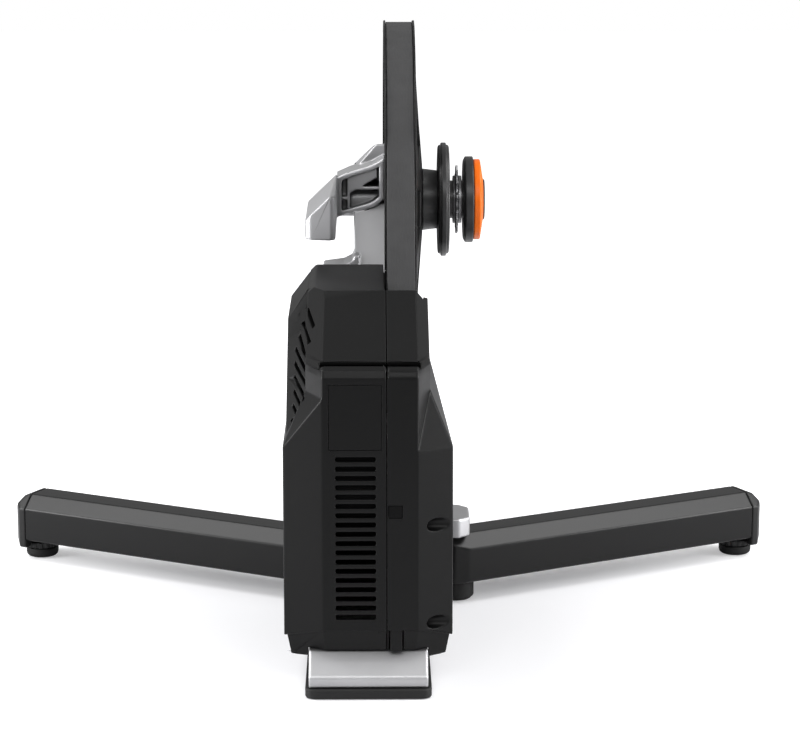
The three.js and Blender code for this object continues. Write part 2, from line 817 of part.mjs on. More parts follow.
function wholeCasing() {
  const outer = casingBody(0);
  const groove = box(panelCentre - panelHalf - overrun, panelCentre + panelHalf + overrun,
    casingFront + coverRound, grooveBack, coverTop - grooveDepth, coverTop + overrun);
  const grooveFloor = box(casingCentre - upperHalf, casingCentre + upperHalf, casingFront + casingWall,
    grooveBack + casingWall, coverTop - grooveDepth - casingWall, coverTop - casingWall);
  const openHalf = skirtHalf - skirtTaper - casingWall;
  const bottom = box(casingCentre - openHalf, casingCentre + openHalf, casingFront + 2 * skirtFoot,
    casingRear - casingWall, casingBottom - 2 * skirtDrop, casingBottom + overrun);
  const spineRoom = box(casingCentre - noseHalf - gap, casingCentre + noseHalf + gap, casingFront,
    casingRear + overrun, 0, casingBottom);
  const wallSlope = alongX([
    [slotFront, casingTop - edgeChamfer], [casingRear + overrun, guardTopZ],
    [casingRear + overrun, casingTop + overrun], [slotFront, casingTop + overrun],
  ], slotRight - overrun, casingCentre + bodyHalf);
  const shell = cut(outer, casingBody(casingWall), bottom);
  const slot = box(seamX - slotLeftGap, slotRight, slotFront, casingRear + overrun,
    guardFrontZ + guardWall, casingTop + overrun);
  return cut(join(shell, grooveFloor.intersect(outer)), groove, slot, spineRoom, wallSlope);
}

function wellTubes(from, to, radius) {
  return [wellUpperZ, wellLowerZ].map((z) => rodX(from, to, radius, fineSteps, wellY, z));
}

function leftCasing(whole) {
  const half = whole.intersect(box(casingCentre - 2 * bodyHalf, seamX - seamGap / 2,
    2 * casingFront, -casingRear, 0, 2 * casingTop));
  const vents = [];
  for (let row = 0; row < sideVentCount; row += 1) vents.push(sideVent(sideVentTop - row * sideVentPitch));
  const recess = box(badgeLeft, badgeRight, casingFront - overrun, casingFront + badgeRecess,
    badgeLow, badgeHigh);
  const bosses = [wellUpperZ, wellLowerZ].map((z) => box(screwBossLeft, seamX - seamGap / 2,
    casingFront + casingWall / 2, wellY + screwBossHalf, z - screwBossHalf, z + screwBossHalf));
  const pilots = wellTubes(screwBossLeft - overrun, seamX + overrun, screwRadius + gap);
  const posts = boardPosts().map(([y, z]) => rodX(casingCentre - bodyHalf + casingWall / 2,
    boardX - gap, boardPostRadius, fineSteps, y, z));
  const socketHole = rodY(casingRear - casingWall - overrun, casingRear + overrun, socketRadius + gap,
    fineSteps, socketX, socketZ);
  return cut(join(half, ...bosses, ...posts), ...vents, ...frontVents(), recess, ...pilots, socketHole);
}

function rightCasing(whole) {
  const left = seamX + seamGap / 2;
  const half = whole.intersect(box(left, casingCentre + 2 * bodyHalf, 2 * casingFront, -casingRear,
    0, 2 * casingTop));
  const right = casingCentre + bodyHalf;
  const tubes = wellTubes(left, right, wellRadius + wellWall).map((tube) => tube.intersect(casingBody(0)));
  const wells = wellTubes(wellFloor, right, wellRadius);
  const holes = wellTubes(seamX - overrun, wellFloor + overrun, screwRadius + gap);
  const recess = box(windowLeft, windowRight, casingFront - overrun, casingFront + windowRecess,
    windowLow, windowHigh);
  const notch = box(notchLeft, notchRight, casingFront - overrun, casingFront + 2 * skirtFoot,
    casingBottom - overrun, skirtTop);
  const tabFront = casingFront + tabSetback;
  const tab = join(box(notchLeft + tabSide, notchRight - tabSide, tabFront, tabFront + tabThickness,
    tabLow, skirtTop + overrun), box(notchLeft + tabSide, notchRight - tabSide, casingFront + casingWall / 2,
    tabFront + tabThickness, skirtTop, skirtTop + overrun));
  return join(cut(join(half, ...tubes, beltGuard()), ...wells, ...holes, recess, notch), tab);
}

// The guard that carries on from the casing under the belt
function beltGuard() {
  const bottom = [
    [casingRear - casingWall, guardFrontZ], [guardLowY, guardLowZ], [guardMidY, guardMidZ],
    [guardRearY, guardRearZ],
  ];
  const raised = bottom.map(([y, z]) => [y, z + guardWall]).reverse();
  const right = casingCentre + upperHalf;
  const strip = alongX([...bottom, ...raised], columnRight + gap, right);
  const side = alongX([
    ...bottom, [guardRearTopY, guardRearTopZ], [casingRear - casingWall, guardTopZ],
  ], right - casingWall, right);
  const clearance = box(columnLeft, seamX + seamGap / 2, casingRear - 2 * casingWall, casingRear + gap,
    casingBottom, casingTop);
  return join(strip.subtract(clearance), side);
}

function boardPosts() {
  const ys = [boardFront + boardPostInset, boardRear - boardPostInset];
  const zs = [boardLow + boardPostInset, boardHigh - boardPostInset];
  return ys.flatMap((y) => zs.map((z) => [y, z]));
}

// Drive pulley: flanged rim, dished web with windows, hub
const beltLeft = pulleyLeft + flangeThickness + beltSideGap;
const rimSeatRight = beltLeft + beltWidth + beltSideGap;
const pulleyRight = rimSeatRight + flangeThickness;
const rimSeatRadius = pulleyRadius - beltInset - beltThickness;
const beltBigRadius = rimSeatRadius + gap;
const clutchFloor = pulleyBossRight - clutchSeatDepth;
const hubTubeLeft = pulleyBossRight + gap;

function webRight(radius) {
  const share = (rimSeatRadius - rimDepth - radius) / (rimSeatRadius - rimDepth - pulleyBossRadius);
  return pulleyRight + (pulleyBossRight - pulleyRight) * Math.max(0, share) ** webCurve;
}

function drivePulley() {
  const rimInner = rimSeatRadius - rimDepth;
  const radii = [rimInner, ...webShares.map((share) => rimInner + share * (pulleyBossRadius - rimInner))];
  const rightSide = radii.map((radius) => [webRight(radius), radius]);
  const leftSide = radii.map((radius) => [webRight(radius) - pulleyWebThickness, radius]).reverse();
  const wheel = onAxle([
    [pulleyLeft, rimInner], [pulleyLeft, pulleyRadius], [beltLeft - beltSideGap, pulleyRadius],
    [beltLeft - beltSideGap, rimSeatRadius], [rimSeatRight, rimSeatRadius],
    [rimSeatRight, pulleyRadius], [pulleyRight, pulleyRadius], ...rightSide,
    [pulleyBossRight, clutchOuterRadius + gap], [clutchFloor, clutchOuterRadius + gap],
    [clutchFloor, bearingOuterRadius + gap], [pulleyHubLeft, bearingOuterRadius + gap],
    [pulleyHubLeft, pulleyHubRadius], [leftSide[0][0], pulleyHubRadius], ...leftSide,
  ], wideSteps);
  const windows = [];
  for (let i = 0; i < windowCount; i += 1) {
    const middle = 2 * Math.PI * i / windowCount;
    const from = middle - windowAngle / 2;
    const to = middle + windowAngle / 2;
    windows.push(alongX([
      ...arc(0, axleHeight, windowOuterRadius, from, to, 3),
      ...arc(0, axleHeight, windowInnerRadius, to, from, 1),
    ], beltLeft, 2 * pulleyBossRight));
  }
  return cut(wheel, ...windows);
}

// Belt: straight strands tangent to the two seats
const beltSmallRadius = pinionSeatRadius + gap;
const beltSpan = new THREE.Vector2(flywheelY, flywheelZ - axleHeight);
const beltHeading = beltSpan.angle();
const beltFree = Math.PI / 2 - Math.asin((beltBigRadius - beltSmallRadius) / beltSpan.length());

function beltLoop(extra) {
  return [
    ...arc(0, axleHeight, beltBigRadius + extra, beltHeading + beltFree,
      beltHeading + 2 * Math.PI - beltFree, beltSteps),
    ...arc(flywheelY, flywheelZ, beltSmallRadius + extra, beltHeading - beltFree,
      beltHeading + beltFree, pinionWrapSteps),
  ];
}

function belt() {
  const outer = alongX(beltLoop(beltThickness), beltLeft, beltLeft + beltWidth);
  const inner = alongX(beltLoop(0), beltLeft - overrun, beltLeft + beltWidth + overrun);
  return outer.subtract(inner);
}

// Sprocket: teeth cut by roller circles at the chain's pitch
function sprocket() {
  const pitchRadius = chainPitch / 2 / Math.sin(Math.PI / sprocketTeeth);
  const outline = [];
  for (let tooth = 0; tooth < sprocketTeeth; tooth += 1) {
    const valley = 2 * Math.PI * tooth / sprocketTeeth;
    const seat = arc(pitchRadius, 0, chainRollerRadius, Math.PI - toothSeatAngle,
      Math.PI + toothSeatAngle, 3).reverse();
    for (const [u, v] of seat) {
      outline.push([
        u * Math.cos(valley) - v * Math.sin(valley), u * Math.sin(valley) + v * Math.cos(valley),
      ]);
    }
    for (const side of [-1, 1]) {
      const tip = valley + Math.PI / sprocketTeeth + side * toothTipAngle / 2;
      outline.push([sprocketTipRadius * Math.cos(tip), sprocketTipRadius * Math.sin(tip)]);
    }
  }
  const from = sprocketCentre - sprocketThickness / 2;
  const plate = alongX(outline, from, from + sprocketThickness).translate(0, 0, axleHeight);
  return plate.subtract(rodX(from - overrun, from + sprocketThickness + overrun,
    carrierSeatRadius + gap, midSteps, 0, axleHeight));
}

const bearing = (from) => ring(from, from + bearingWidth, axleRadius + gap, bearingOuterRadius);

function hubBody() {
  const bore = bearingOuterRadius + gap;
  const noseLeft = clutchFloor + gap;
  const narrow = axleRadius + 2 * gap;
  const leftBearing = hubTubeLeft + gap;
  const rightBearing = splineRight - hubEndDepth - bearingWidth;
  return onAxle([
    [noseLeft, narrow], [noseLeft, clutchInnerRadius - gap], [hubTubeLeft, clutchInnerRadius - gap],
    [hubTubeLeft, hubTubeRadius], [hubTubeRight, hubTubeEndRadius], [hubTubeRight, splineRadius],
    [splineRight, splineRadius], [splineRight, bore], [rightBearing - gap, bore],
    [rightBearing - gap, narrow + overrun], [leftBearing + bearingWidth + 2 * gap, narrow + overrun],
    [leftBearing + bearingWidth + 2 * gap, bore], [leftBearing, bore], [leftBearing, narrow],
  ]);
}

// Guards on both sides of the sprocket; the inner one has a raised rib round its edge
const guardBore = splineRadius + gap;

function innerGuard() {
  const band = innerGuardRadius - guardRib;
  return onAxle([
    [innerGuardLeft, guardBore], [innerGuardLeft, band - guardEase], [innerGuardLeft + guardEase, band],
    [innerGuardLeft + guardRibInset, band], [innerGuardLeft + guardRibInset, innerGuardRadius],
    [innerGuardRight - guardRibInset, innerGuardRadius], [innerGuardRight - guardRibInset, band],
    [innerGuardRight - guardEase, band], [innerGuardRight, band - guardEase], [innerGuardRight, guardBore],
  ], wideSteps);
}

function outerGuard() {
  return onAxle([
    [outerGuardLeft, guardBore], [outerGuardLeft, outerGuardRadius - outerGuardChamfer],
    [outerGuardLeft + outerGuardChamfer / 2, outerGuardRadius], [outerGuardRight, outerGuardRadius],
    [outerGuardRight, guardBore],
  ], wideSteps);
}

function sprocketCarrier() {
  const seat = sprocketCentre - sprocketThickness / 2 - gap;
  return onAxle([
    [carrierLeft, guardBore], [carrierLeft, carrierRadius], [seat, carrierRadius],
    [seat, carrierSeatRadius], [carrierRight, carrierSeatRadius], [carrierRight, guardBore],
  ]);
}

function chainLineKnob() {
  const capSeat = axleRightEnd - axleCapFlange - gap;
  return onAxle([
    [knobLeft, axleCapStemRadius + gap], [knobLeft, knobRadius], [knobShoulder, knobRadius],
    [knobShoulder + knobEase, knobRadius - knobEase / 2], [knobRight, knobFaceRadius],
    [knobRight, axleCapRadius + gap], [capSeat, axleCapRadius + gap],
    [capSeat, axleCapStemRadius + gap],
  ], wideSteps);
}

// Axle and its two end adapters
const axleTubeRight = axleRightEnd - axleCapFlange - axleCapStem;

function axleTube() {
  const shoulder = pulleyHubLeft + gap;
  return onAxle([
    [gripRight, axleBoreRadius], [gripRight, axleSeatRadius], [shoulder, axleSeatRadius],
    [shoulder, axleRadius], [axleTubeRight, axleRadius], [axleTubeRight, axleBoreRadius],
  ]);
}

function leftAdapter() {
  const flange = axleLeftEnd + adapterFlange;
  const inner = gripRight - gap;
  return onAxle([
    [axleLeftEnd, axleBoreRadius], [axleLeftEnd, adapterRadius - adapterEase],
    [axleLeftEnd + adapterEase, adapterRadius], [flange, adapterRadius], [flange, adapterStemRadius],
    [inner, adapterStemRadius], [inner, axleBoreRadius],
  ]);
}

function rightAdapter() {
  const flange = axleRightEnd - axleCapFlange;
  return onAxle([
    [axleTubeRight + gap, axleBoreRadius], [axleTubeRight + gap, axleCapStemRadius],
    [flange, axleCapStemRadius], [flange, axleCapRadius], [axleRightEnd - adapterEase, axleCapRadius],
    [axleRightEnd, axleCapRadius - adapterEase], [axleRightEnd, axleBoreRadius],
  ]);
}

// Flywheel group
function flywheel() {
  const inner = flywheelRadius - flywheelRim;
  const ease = adapterEase;
  return onShaft([
    [flywheelLeft, inner], [flywheelLeft, flywheelRadius - ease], [flywheelLeft + ease, flywheelRadius],
    [flywheelRight - ease, flywheelRadius], [flywheelRight, flywheelRadius - ease],
    [flywheelRight, axleRadius + gap], [flywheelHubLeft, axleRadius + gap],
    [flywheelHubLeft, flywheelHubRadius], [flywheelRight - flywheelWeb, flywheelHubRadius],
    [flywheelRight - flywheelWeb, inner],
  ], wideSteps);
}

function pinionPulley() {
  return onShaft([
    [pulleyLeft, axleRadius + gap], [pulleyLeft, pinionFlangeRadius],
    [beltLeft - beltSideGap, pinionFlangeRadius], [beltLeft - beltSideGap, pinionSeatRadius],
    [rimSeatRight, pinionSeatRadius], [rimSeatRight, pinionFlangeRadius],
    [pulleyRight, pinionFlangeRadius], [pulleyRight, axleRadius + gap],
  ]);
}

function brakeStator() {
  const core = onShaft([
    [statorLeft, statorBoreRadius], [statorLeft, statorCoreRadius], [statorRight, statorCoreRadius],
    [statorRight, statorBoreRadius],
  ]);
  const poles = [];
  for (let i = 0; i < poleCount; i += 1) {
    const pole = new THREE.BoxGeometry(statorRight - statorCoreLeft,
      poleTipRadius - statorBoreRadius - castWall, poleWidth);
    pole.translate((statorRight + statorCoreLeft) / 2,
      (poleTipRadius + statorBoreRadius + castWall) / 2, 0);
    poles.push(toSolid(pole.rotateX(2 * Math.PI * i / poleCount + Math.PI / poleCount)
      .translate(0, flywheelY, flywheelZ)));
  }
  return join(core, ...poles);
}

function brakeCoil(i) {
  const inner = new THREE.BoxGeometry(statorRight - statorCoreLeft + 2 * gap,
    poleTipRadius, poleWidth + 2 * gap);
  const length = poleTipRadius - statorCoreRadius - 2 * coilInset;
  const outer = new THREE.BoxGeometry(statorRight - statorCoreLeft + coilThickness, length,
    poleWidth + 2 * coilThickness);
  const middleX = (statorRight + statorCoreLeft) / 2;
  const middleR = (poleTipRadius + statorCoreRadius) / 2;
  const place = (geometry) => toSolid(geometry.translate(middleX, middleR, 0)
    .rotateX(2 * Math.PI * i / poleCount + Math.PI / poleCount).translate(0, flywheelY, flywheelZ));
  return place(outer).subtract(place(inner));
}

// Bearing plates that carry the flywheel shaft
function bearingPlate(x, footSide, [boltX, boltY]) {
  const x1 = x + plateThickness;
  const foot = spineTop + plateFootHeight;
  const web = alongX([
    [plateFront, spineTop + gap], [plateRear, spineTop + gap], [plateRear, foot],
    [flywheelY + plateBossRadius, flywheelZ], [flywheelY - plateBossRadius, flywheelZ],
    [plateFront, foot],
  ], x, x1);
  const windowTop = flywheelZ - plateBossRadius - plateFootHeight;
  const window = alongX([
    [plateFront + plateWindowInset, foot + plateFootHeight],
    [plateRear - plateWindowInset, foot + plateFootHeight],
    [flywheelY + plateWindowInset / 2, windowTop], [flywheelY - plateWindowInset / 2, windowTop],
  ], x - overrun, x1 + overrun);
  const boss = onShaft(ring(x, x1, 0, plateBossRadius));
  const flangeEnd = footSide > 0 ? x1 + plateFootWidth : x - plateFootWidth;
  const flange = box(Math.min(x, flangeEnd), Math.max(x1, flangeEnd), plateFront, plateRear,
    spineTop + gap, foot);
  const hole = rodZ(spineTop, foot + overrun, plateBoltRadius + gap, fineSteps, boltX, boltY);
  return cut(join(web.subtract(window), boss, flange), plateBore(x), hole);
}

function plateBore(x) {
  return onShaft(ring(x - overrun, x + plateThickness + overrun, 0, shaftBearingRadius + gap));
}

function plateBolt([x, y]) {
  const seat = spineTop + plateFootHeight + gap;
  return turnedZ([
    [spineTop - plateBoltDepth + gap, 0], [spineTop - plateBoltDepth + gap, plateBoltRadius],
    [seat, plateBoltRadius], [seat, plateBoltHeadRadius],
    [seat + plateBoltRadius, plateBoltHeadRadius], [seat + plateBoltRadius, 0],
  ], fineSteps, x, y);
}

// Idler: it runs on the back of the belt's lower strand, some way along it from the pinion
const idlerOut = beltSmallRadius + beltThickness + gap + idlerRadius;
const idlerAngle = beltHeading + beltFree;
const idlerY = flywheelY + idlerOut * Math.cos(idlerAngle) - idlerAlong * Math.sin(idlerAngle);
const idlerZ = flywheelZ + idlerOut * Math.sin(idlerAngle) + idlerAlong * Math.cos(idlerAngle);

function idlerRoller() {
  return turnedX(ring(beltLeft, beltLeft + beltWidth, idlerStudRadius + gap, idlerRadius), midSteps,
    idlerY, idlerZ);
}

function rightPlate() {
  const right = rightPlateX + plateThickness;
  const stud = turnedX(ring(beltLeft, right, 0, idlerStudRadius), fineSteps, idlerY, idlerZ);
  const collar = turnedX(ring(rimSeatRight, right, 0, idlerRadius - overrun), fineSteps, idlerY, idlerZ);
  const arm = alongX([
    [flywheelY, flywheelZ - plateBossRadius], [idlerY, idlerZ - idlerRadius + overrun],
    [idlerY, idlerZ + idlerRadius - overrun], [flywheelY + plateBossRadius, flywheelZ],
  ], rightPlateX, right);
  const plate = bearingPlate(rightPlateX, -1, plateBoltPlaces[1]);
  return cut(join(plate, arm, collar, stud), plateBore(rightPlateX));
}

// Control board with its chips, and the power socket in the rear wall
function controlBoard() {
  const board = box(boardX, boardX + boardThickness, boardFront, boardRear, boardLow, boardHigh);
  const pitch = (boardRear - boardFront) / (chipCount + 1);
  const chips = [];
  for (let i = 1; i <= chipCount; i += 1) {
    const y = boardFront + i * pitch;
    const z = (boardLow + boardHigh) / 2;
    chips.push(box(boardX + boardThickness / 2, boardX + boardThickness + chipHeight,
      y - chipSize / 2, y + chipSize / 2, z - chipSize / 2, z + chipSize / 2));
  }
  return join(board, ...chips);
}

function powerSocket() {
  const inner = casingRear - casingWall - socketLength;
  const body = rodY(inner, casingRear + gap, socketRadius, fineSteps, socketX, socketZ);
  const flange = rodY(casingRear + gap, casingRear + gap + socketFlange, socketFlangeRadius, fineSteps,
    socketX, socketZ);
  const bore = rodY(casingRear - socketBoreDepth, casingRear + overrun, socketBoreRadius, fineSteps,
    socketX, socketZ);
  return join(body, flange).subtract(bore);
}

const footReach = legReach - footInset;

// Legs, built along +X from the pivot and then turned into place
function legProfile(edge) {
  const half = legWidth / 2;
  return [
    [-half, legBottom + edge], [-half + edge, legBottom], [half - edge, legBottom],
    [half, legBottom + edge], [half, legTop - legChamfer], [half - legChamfer, legTop],
    [-half + legChamfer, legTop], [-half, legTop - legChamfer],
  ];
}

function legBeam() {
  const half = legWidth / 2;
  const bodyEnd = legReach - capLength;
  const bar = alongX(legProfile(legEdge), -half, bodyEnd);
  const plan = alongZ([
    [bodyEnd + overrun, -half], [bodyEnd + overrun, half],
    ...arc(0, 0, half, Math.PI / 2, 3 * Math.PI / 2, fineSteps / 2),
  ], 0, earTop);
  const hollow = alongX(inset(legProfile(legEdge), legWall), legSolidRoot, bodyEnd + overrun);
  const studBoss = rodZ(legBottom + legWall / 2, studTop + overrun, studBossRadius, fineSteps,
    footReach, 0);
  const studHole = rodZ(0, studTop + gap, studRadius + gap, fineSteps, footReach, 0);
  const bushHole = rodZ(0, earTop, bushRadius + gap, fineSteps, 0, 0);
  return cut(join(bar.intersect(plan).subtract(hollow), studBoss), studHole, bushHole);
}

function legCap() {
  const from = legReach - capLength + gap;
  const half = legWidth / 2;
  const low = legBottom - capSkirt;
  const profile = [
    [-half, low + legEdge], [-half + legEdge, low], [half - legEdge, low], [half, low + legEdge],
    [half, legTop - legChamfer], [half - legChamfer, legTop], [-half + legChamfer, legTop],
    [-half, legTop - legChamfer],
  ];
  const side = alongY([
    [from, low], [legReach - capBevel, low], [legReach, low + capBevel], [legReach, legTop - legChamfer],
    [legReach - legChamfer / 2, legTop - capEase], [from + capEase, legTop], [from, legTop],
  ], -half, half);
  const plan = alongZ([
    [from, -half], [legReach - capBevel, -half], [legReach, -half + capBevel],
    [legReach, half - capBevel], [legReach - capBevel, half], [from, half],
  ], 0, earTop);
  const block = alongX(profile, from, legReach).intersect(side).intersect(plan);
  const plugOutline = inset(legProfile(plugEdge), legWall + gap);
  const plug = alongX(plugOutline, from - capPlug, from + overrun);
  const hollow = alongX(inset(plugOutline, legWall), from - capPlug - overrun, legReach - legWall);
  const bossRoom = rodZ(0, studTop + 2 * overrun, studBossRadius + gap, midSteps, footReach, 0);
  const footRoom = rodZ(0, legBottom, footRadius + 2 * gap, midSteps, footReach, 0);
  return cut(join(block, plug), hollow, bossRoom, footRoom);
}

function pivotBolt() {
  return turnedZ([
    [boltHeadLow, 0], [boltHeadLow, boltHeadRadius], [boltHeadLow + boltHeadHeight, boltHeadRadius],
    [boltHeadLow + boltHeadHeight, boltRadius], [boltTop, boltRadius], [boltTop, 0],
  ], fineSteps);
}

function rootFoot() {
  const top = legBottom - gap;
  const pocketTop = boltHeadLow + boltHeadHeight + gap;
  return turnedZ([
    [0, 0], [0, rootFootRadius - rootFootRound], [rootFootRound, rootFootRadius],
    [top, rootFootRadius], [top, boltRadius + gap], [pocketTop, boltRadius + gap],
    [pocketTop, boltHeadRadius + gap], [boltHeadLow - gap, boltHeadRadius + gap], [boltHeadLow - gap, 0],
  ], fineSteps);
}

function footWheel() {
  const low = footPadHeight + gap;
  const outline = [];
  for (let i = 0; i < wheelRibs; i += 1) {
    const pitch = 2 * Math.PI / wheelRibs;
    for (const [share, depth] of ribShares) {
      const radius = footRadius - depth * wheelRibDepth;
      outline.push([radius * Math.cos((i + share) * pitch), radius * Math.sin((i + share) * pitch)]);
    }
  }
  const knurled = alongZ(outline, low, wheelTop - wheelCollar);
  const stud = turnedZ([
    [low, 0], [low, wheelCollarRadius], [wheelTop, wheelCollarRadius], [wheelTop, studRadius],
    [studTop, studRadius], [studTop, 0],
  ], fineSteps);
  return join(knurled, stud);
}

function footPad() {
  const quarter = Math.PI / 2;
  return turnedZ([
    [0, 0], ...arc(footPadRound, footRadius - footPadRound, footPadRound, 2 * quarter, quarter,
      cornerSteps), [footPadHeight, footRadius], [footPadHeight, 0],
  ], midSteps);
}

// The pieces of the frame
addPiece('base_casting', baseCasting(), 'castSilver');
addPiece('upright_casting', uprightCasting(), 'castSilver');
frameBoltYs.forEach((y, i) => addPiece(`frame_bolt_${['front', 'rear'][i]}`, frameBolt(y), 'darkSteel'));
addPiece('front_pad', alongZ(roundedRectangle(casingCentre - padHalf, casingCentre + padHalf, padFront,
  padFront + padLength, padCorner), 0, padTop), 'blackRubber');

// The pieces of the casing
const casing = wholeCasing();
addPiece('left_casing', leftCasing(casing), 'blackPlastic');
addPiece('right_casing', rightCasing(casing), 'blackPlastic');
addPiece('badge_plate', box(badgeLeft + gap, badgeRight - gap, casingFront + badgeRecess - gap
  - badgeThickness, casingFront + badgeRecess - gap, badgeLow + gap, badgeHigh - gap), 'blackPlastic');
addPiece('status_window', box(windowLeft + gap, windowRight - gap, casingFront + windowRecess - gap
  - windowThickness, casingFront + windowRecess - gap, windowLow + gap, windowHigh - gap), 'blackPlastic');
[wellUpperZ, wellLowerZ].forEach((z, i) => {
  const seat = wellFloor + gap;
  addPiece(`casing_screw_${['upper', 'lower'][i]}`, turnedX([
    [seat - screwLength, 0], [seat - screwLength, screwRadius], [seat, screwRadius],
    [seat, screwHeadRadius], [seat + screwHeadLength, screwHeadRadius], [seat + screwHeadLength, 0],
  ], fineSteps, wellY, z), 'darkSteel');
});
addPiece('control_board', controlBoard(), 'boardGreen');
addPiece('power_socket', powerSocket(), 'blackPlastic');

// The pieces on the axle
addPiece('axle_tube', axleTube(), 'steel');
addPiece('left_dropout_adapter', leftAdapter(), 'darkSteel');
addPiece('right_dropout_adapter', rightAdapter(), 'blackPlastic');
addPiece('drive_pulley', drivePulley(), 'darkPaint');
addPiece('pulley_bearing_left', onAxle(bearing(pulleyHubLeft + 2 * gap)), 'steel');
addPiece('pulley_bearing_right', onAxle(bearing(clutchFloor - gap - bearingWidth)), 'steel');
addPiece('one_way_clutch', onAxle(ring(clutchFloor + gap, clutchFloor + gap + clutchWidth,
  clutchInnerRadius, clutchOuterRadius)), 'steel');
addPiece('hub_body', hubBody(), 'darkPaint');
addPiece('hub_bearing_left', onAxle(bearing(hubTubeLeft + 2 * gap)), 'steel');
addPiece('hub_bearing_right', onAxle(bearing(splineRight - hubEndDepth - bearingWidth)), 'steel');
addPiece('inner_guard', innerGuard(), 'blackPlastic');
addPiece('sprocket_carrier', sprocketCarrier(), 'steel');
addPiece('sprocket', sprocket(), 'steel');
addPiece('sprocket_lockring', onAxle(ring(sprocketCentre + sprocketThickness / 2 + gap, carrierRight,
  carrierSeatRadius + gap, carrierRadius)), 'darkSteel');
addPiece('outer_guard', outerGuard(), 'blackPlastic');
addPiece('chain_line_knob', chainLineKnob(), 'orange');

// The pieces of the belt drive, the flywheel and the brake
addPiece('belt', belt(), 'beltRubber');
addPiece('pinion_pulley', pinionPulley(), 'steel');
addPiece('idler_roller', idlerRoller(), 'darkSteel');
addPiece('flywheel', flywheel(), 'steel');
addPiece('flywheel_shaft', onShaft(ring(shaftLeft, shaftRight, 0, axleRadius)), 'steel');
addPiece('flywheel_bearing_left', onShaft(ring(leftPlateX, leftPlateX + plateThickness,
  axleRadius + gap, shaftBearingRadius)), 'steel');
addPiece('flywheel_bearing_right', onShaft(ring(rightPlateX, rightPlateX + plateThickness,
  axleRadius + gap, shaftBearingRadius)), 'steel');
addPiece('left_bearing_plate', bearingPlate(leftPlateX, 1, plateBoltPlaces[0]), 'castSilver');
addPiece('right_bearing_plate', rightPlate(), 'castSilver');
plateBoltPlaces.forEach((place, i) => addPiece(`${['left', 'right'][i]}_plate_bolt`, plateBolt(place),
  'darkSteel'));
addPiece('brake_stator', brakeStator(), 'darkSteel');
for (let i = 0; i < poleCount; i += 1) addPiece(`brake_coil_${i + 1}`, brakeCoil(i), 'copper');

// Both legs: the same pieces turned about the pivots
for (const [side, sign] of [['left', -1], ['right', 1]]) {
  const leg = new THREE.Group();
  leg.position.set(sign * pivotX, pivotY, 0);
  leg.rotation.z = sign > 0 ? legAngle * degree : Math.PI - legAngle * degree;
  trainer.add(leg);
  addPiece(`${side}_leg_beam`, legBeam(), 'darkPaint', leg);
  addPiece(`${side}_leg_cap`, legCap(), 'blackPlastic', leg);
  addPiece(`${side}_pivot_bolt`, pivotBolt(), 'darkSteel', leg);
  addPiece(`${side}_root_foot`, rootFoot(), 'blackRubber', leg);
  addPiece(`${side}_leg_bush`, turnedZ(ring(legBottom, legTop, boltRadius + gap, bushRadius), fineSteps),
    'blackPlastic', leg);
  const foot = new THREE.Group();
  foot.position.x = footReach;
  leg.add(foot);
  addPiece(`${side}_foot_wheel`, footWheel(), 'blackPlastic', foot);
  addPiece(`${side}_foot_pad`, footPad(), 'blackRubber', foot);
}

// Centre the trainer's box over the origin
const bounds = new THREE.Box3().setFromObject(trainer);
const middle = bounds.getCenter(new THREE.Vector3());
trainer.position.set(-middle.x, -middle.y, 0);

export default trainer;
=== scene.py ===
# %% [markdown]
# # A direct drive bike trainer, dressed for its portrait
# A direct drive trainer stands in for a bike's rear wheel. The chain turns a sprocket on a hub, and a
# tall pulley and a belt carry that turning down to a flywheel inside the plastic casing. The CAD frame
# holds every piece of the trainer at its true place and size, but with flat faces and sharp corners.
# This notebook gives the pieces their looks: the round ones are turned again smoothly, the corners of
# the others are rounded, and each piece gets a material built from nodes.
# Lengths are in metres, X runs to the driving side, Y away from the camera and Z up.

import json
import math

import bmesh
import bpy
from mathutils import Matrix, Vector
from mathutils.kdtree import KDTree

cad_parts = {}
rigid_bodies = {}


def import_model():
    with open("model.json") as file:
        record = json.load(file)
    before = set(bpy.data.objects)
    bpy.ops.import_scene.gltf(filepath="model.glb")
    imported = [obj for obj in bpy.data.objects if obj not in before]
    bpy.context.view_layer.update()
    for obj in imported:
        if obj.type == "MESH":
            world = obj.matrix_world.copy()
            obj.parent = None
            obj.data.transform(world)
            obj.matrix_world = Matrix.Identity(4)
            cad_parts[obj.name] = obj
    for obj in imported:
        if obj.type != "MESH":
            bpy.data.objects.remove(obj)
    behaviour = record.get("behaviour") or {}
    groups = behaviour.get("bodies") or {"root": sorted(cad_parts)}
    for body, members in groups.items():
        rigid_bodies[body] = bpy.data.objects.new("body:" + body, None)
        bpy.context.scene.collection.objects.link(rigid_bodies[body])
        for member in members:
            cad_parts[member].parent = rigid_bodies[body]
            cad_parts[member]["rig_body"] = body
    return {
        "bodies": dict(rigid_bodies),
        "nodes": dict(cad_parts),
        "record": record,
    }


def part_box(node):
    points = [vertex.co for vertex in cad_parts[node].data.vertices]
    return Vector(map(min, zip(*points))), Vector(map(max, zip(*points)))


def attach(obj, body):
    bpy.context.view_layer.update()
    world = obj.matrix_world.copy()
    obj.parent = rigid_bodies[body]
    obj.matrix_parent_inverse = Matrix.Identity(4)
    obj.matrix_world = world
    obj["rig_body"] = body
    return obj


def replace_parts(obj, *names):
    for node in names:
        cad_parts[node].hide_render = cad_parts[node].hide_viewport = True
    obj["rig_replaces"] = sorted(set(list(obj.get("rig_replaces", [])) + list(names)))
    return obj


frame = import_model()
nodes = frame["nodes"]
body_of = {name: node["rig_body"] for name, node in nodes.items()}
slot_of = {part["node"]: part["material_slot"] for part in frame["record"]["subparts"]}
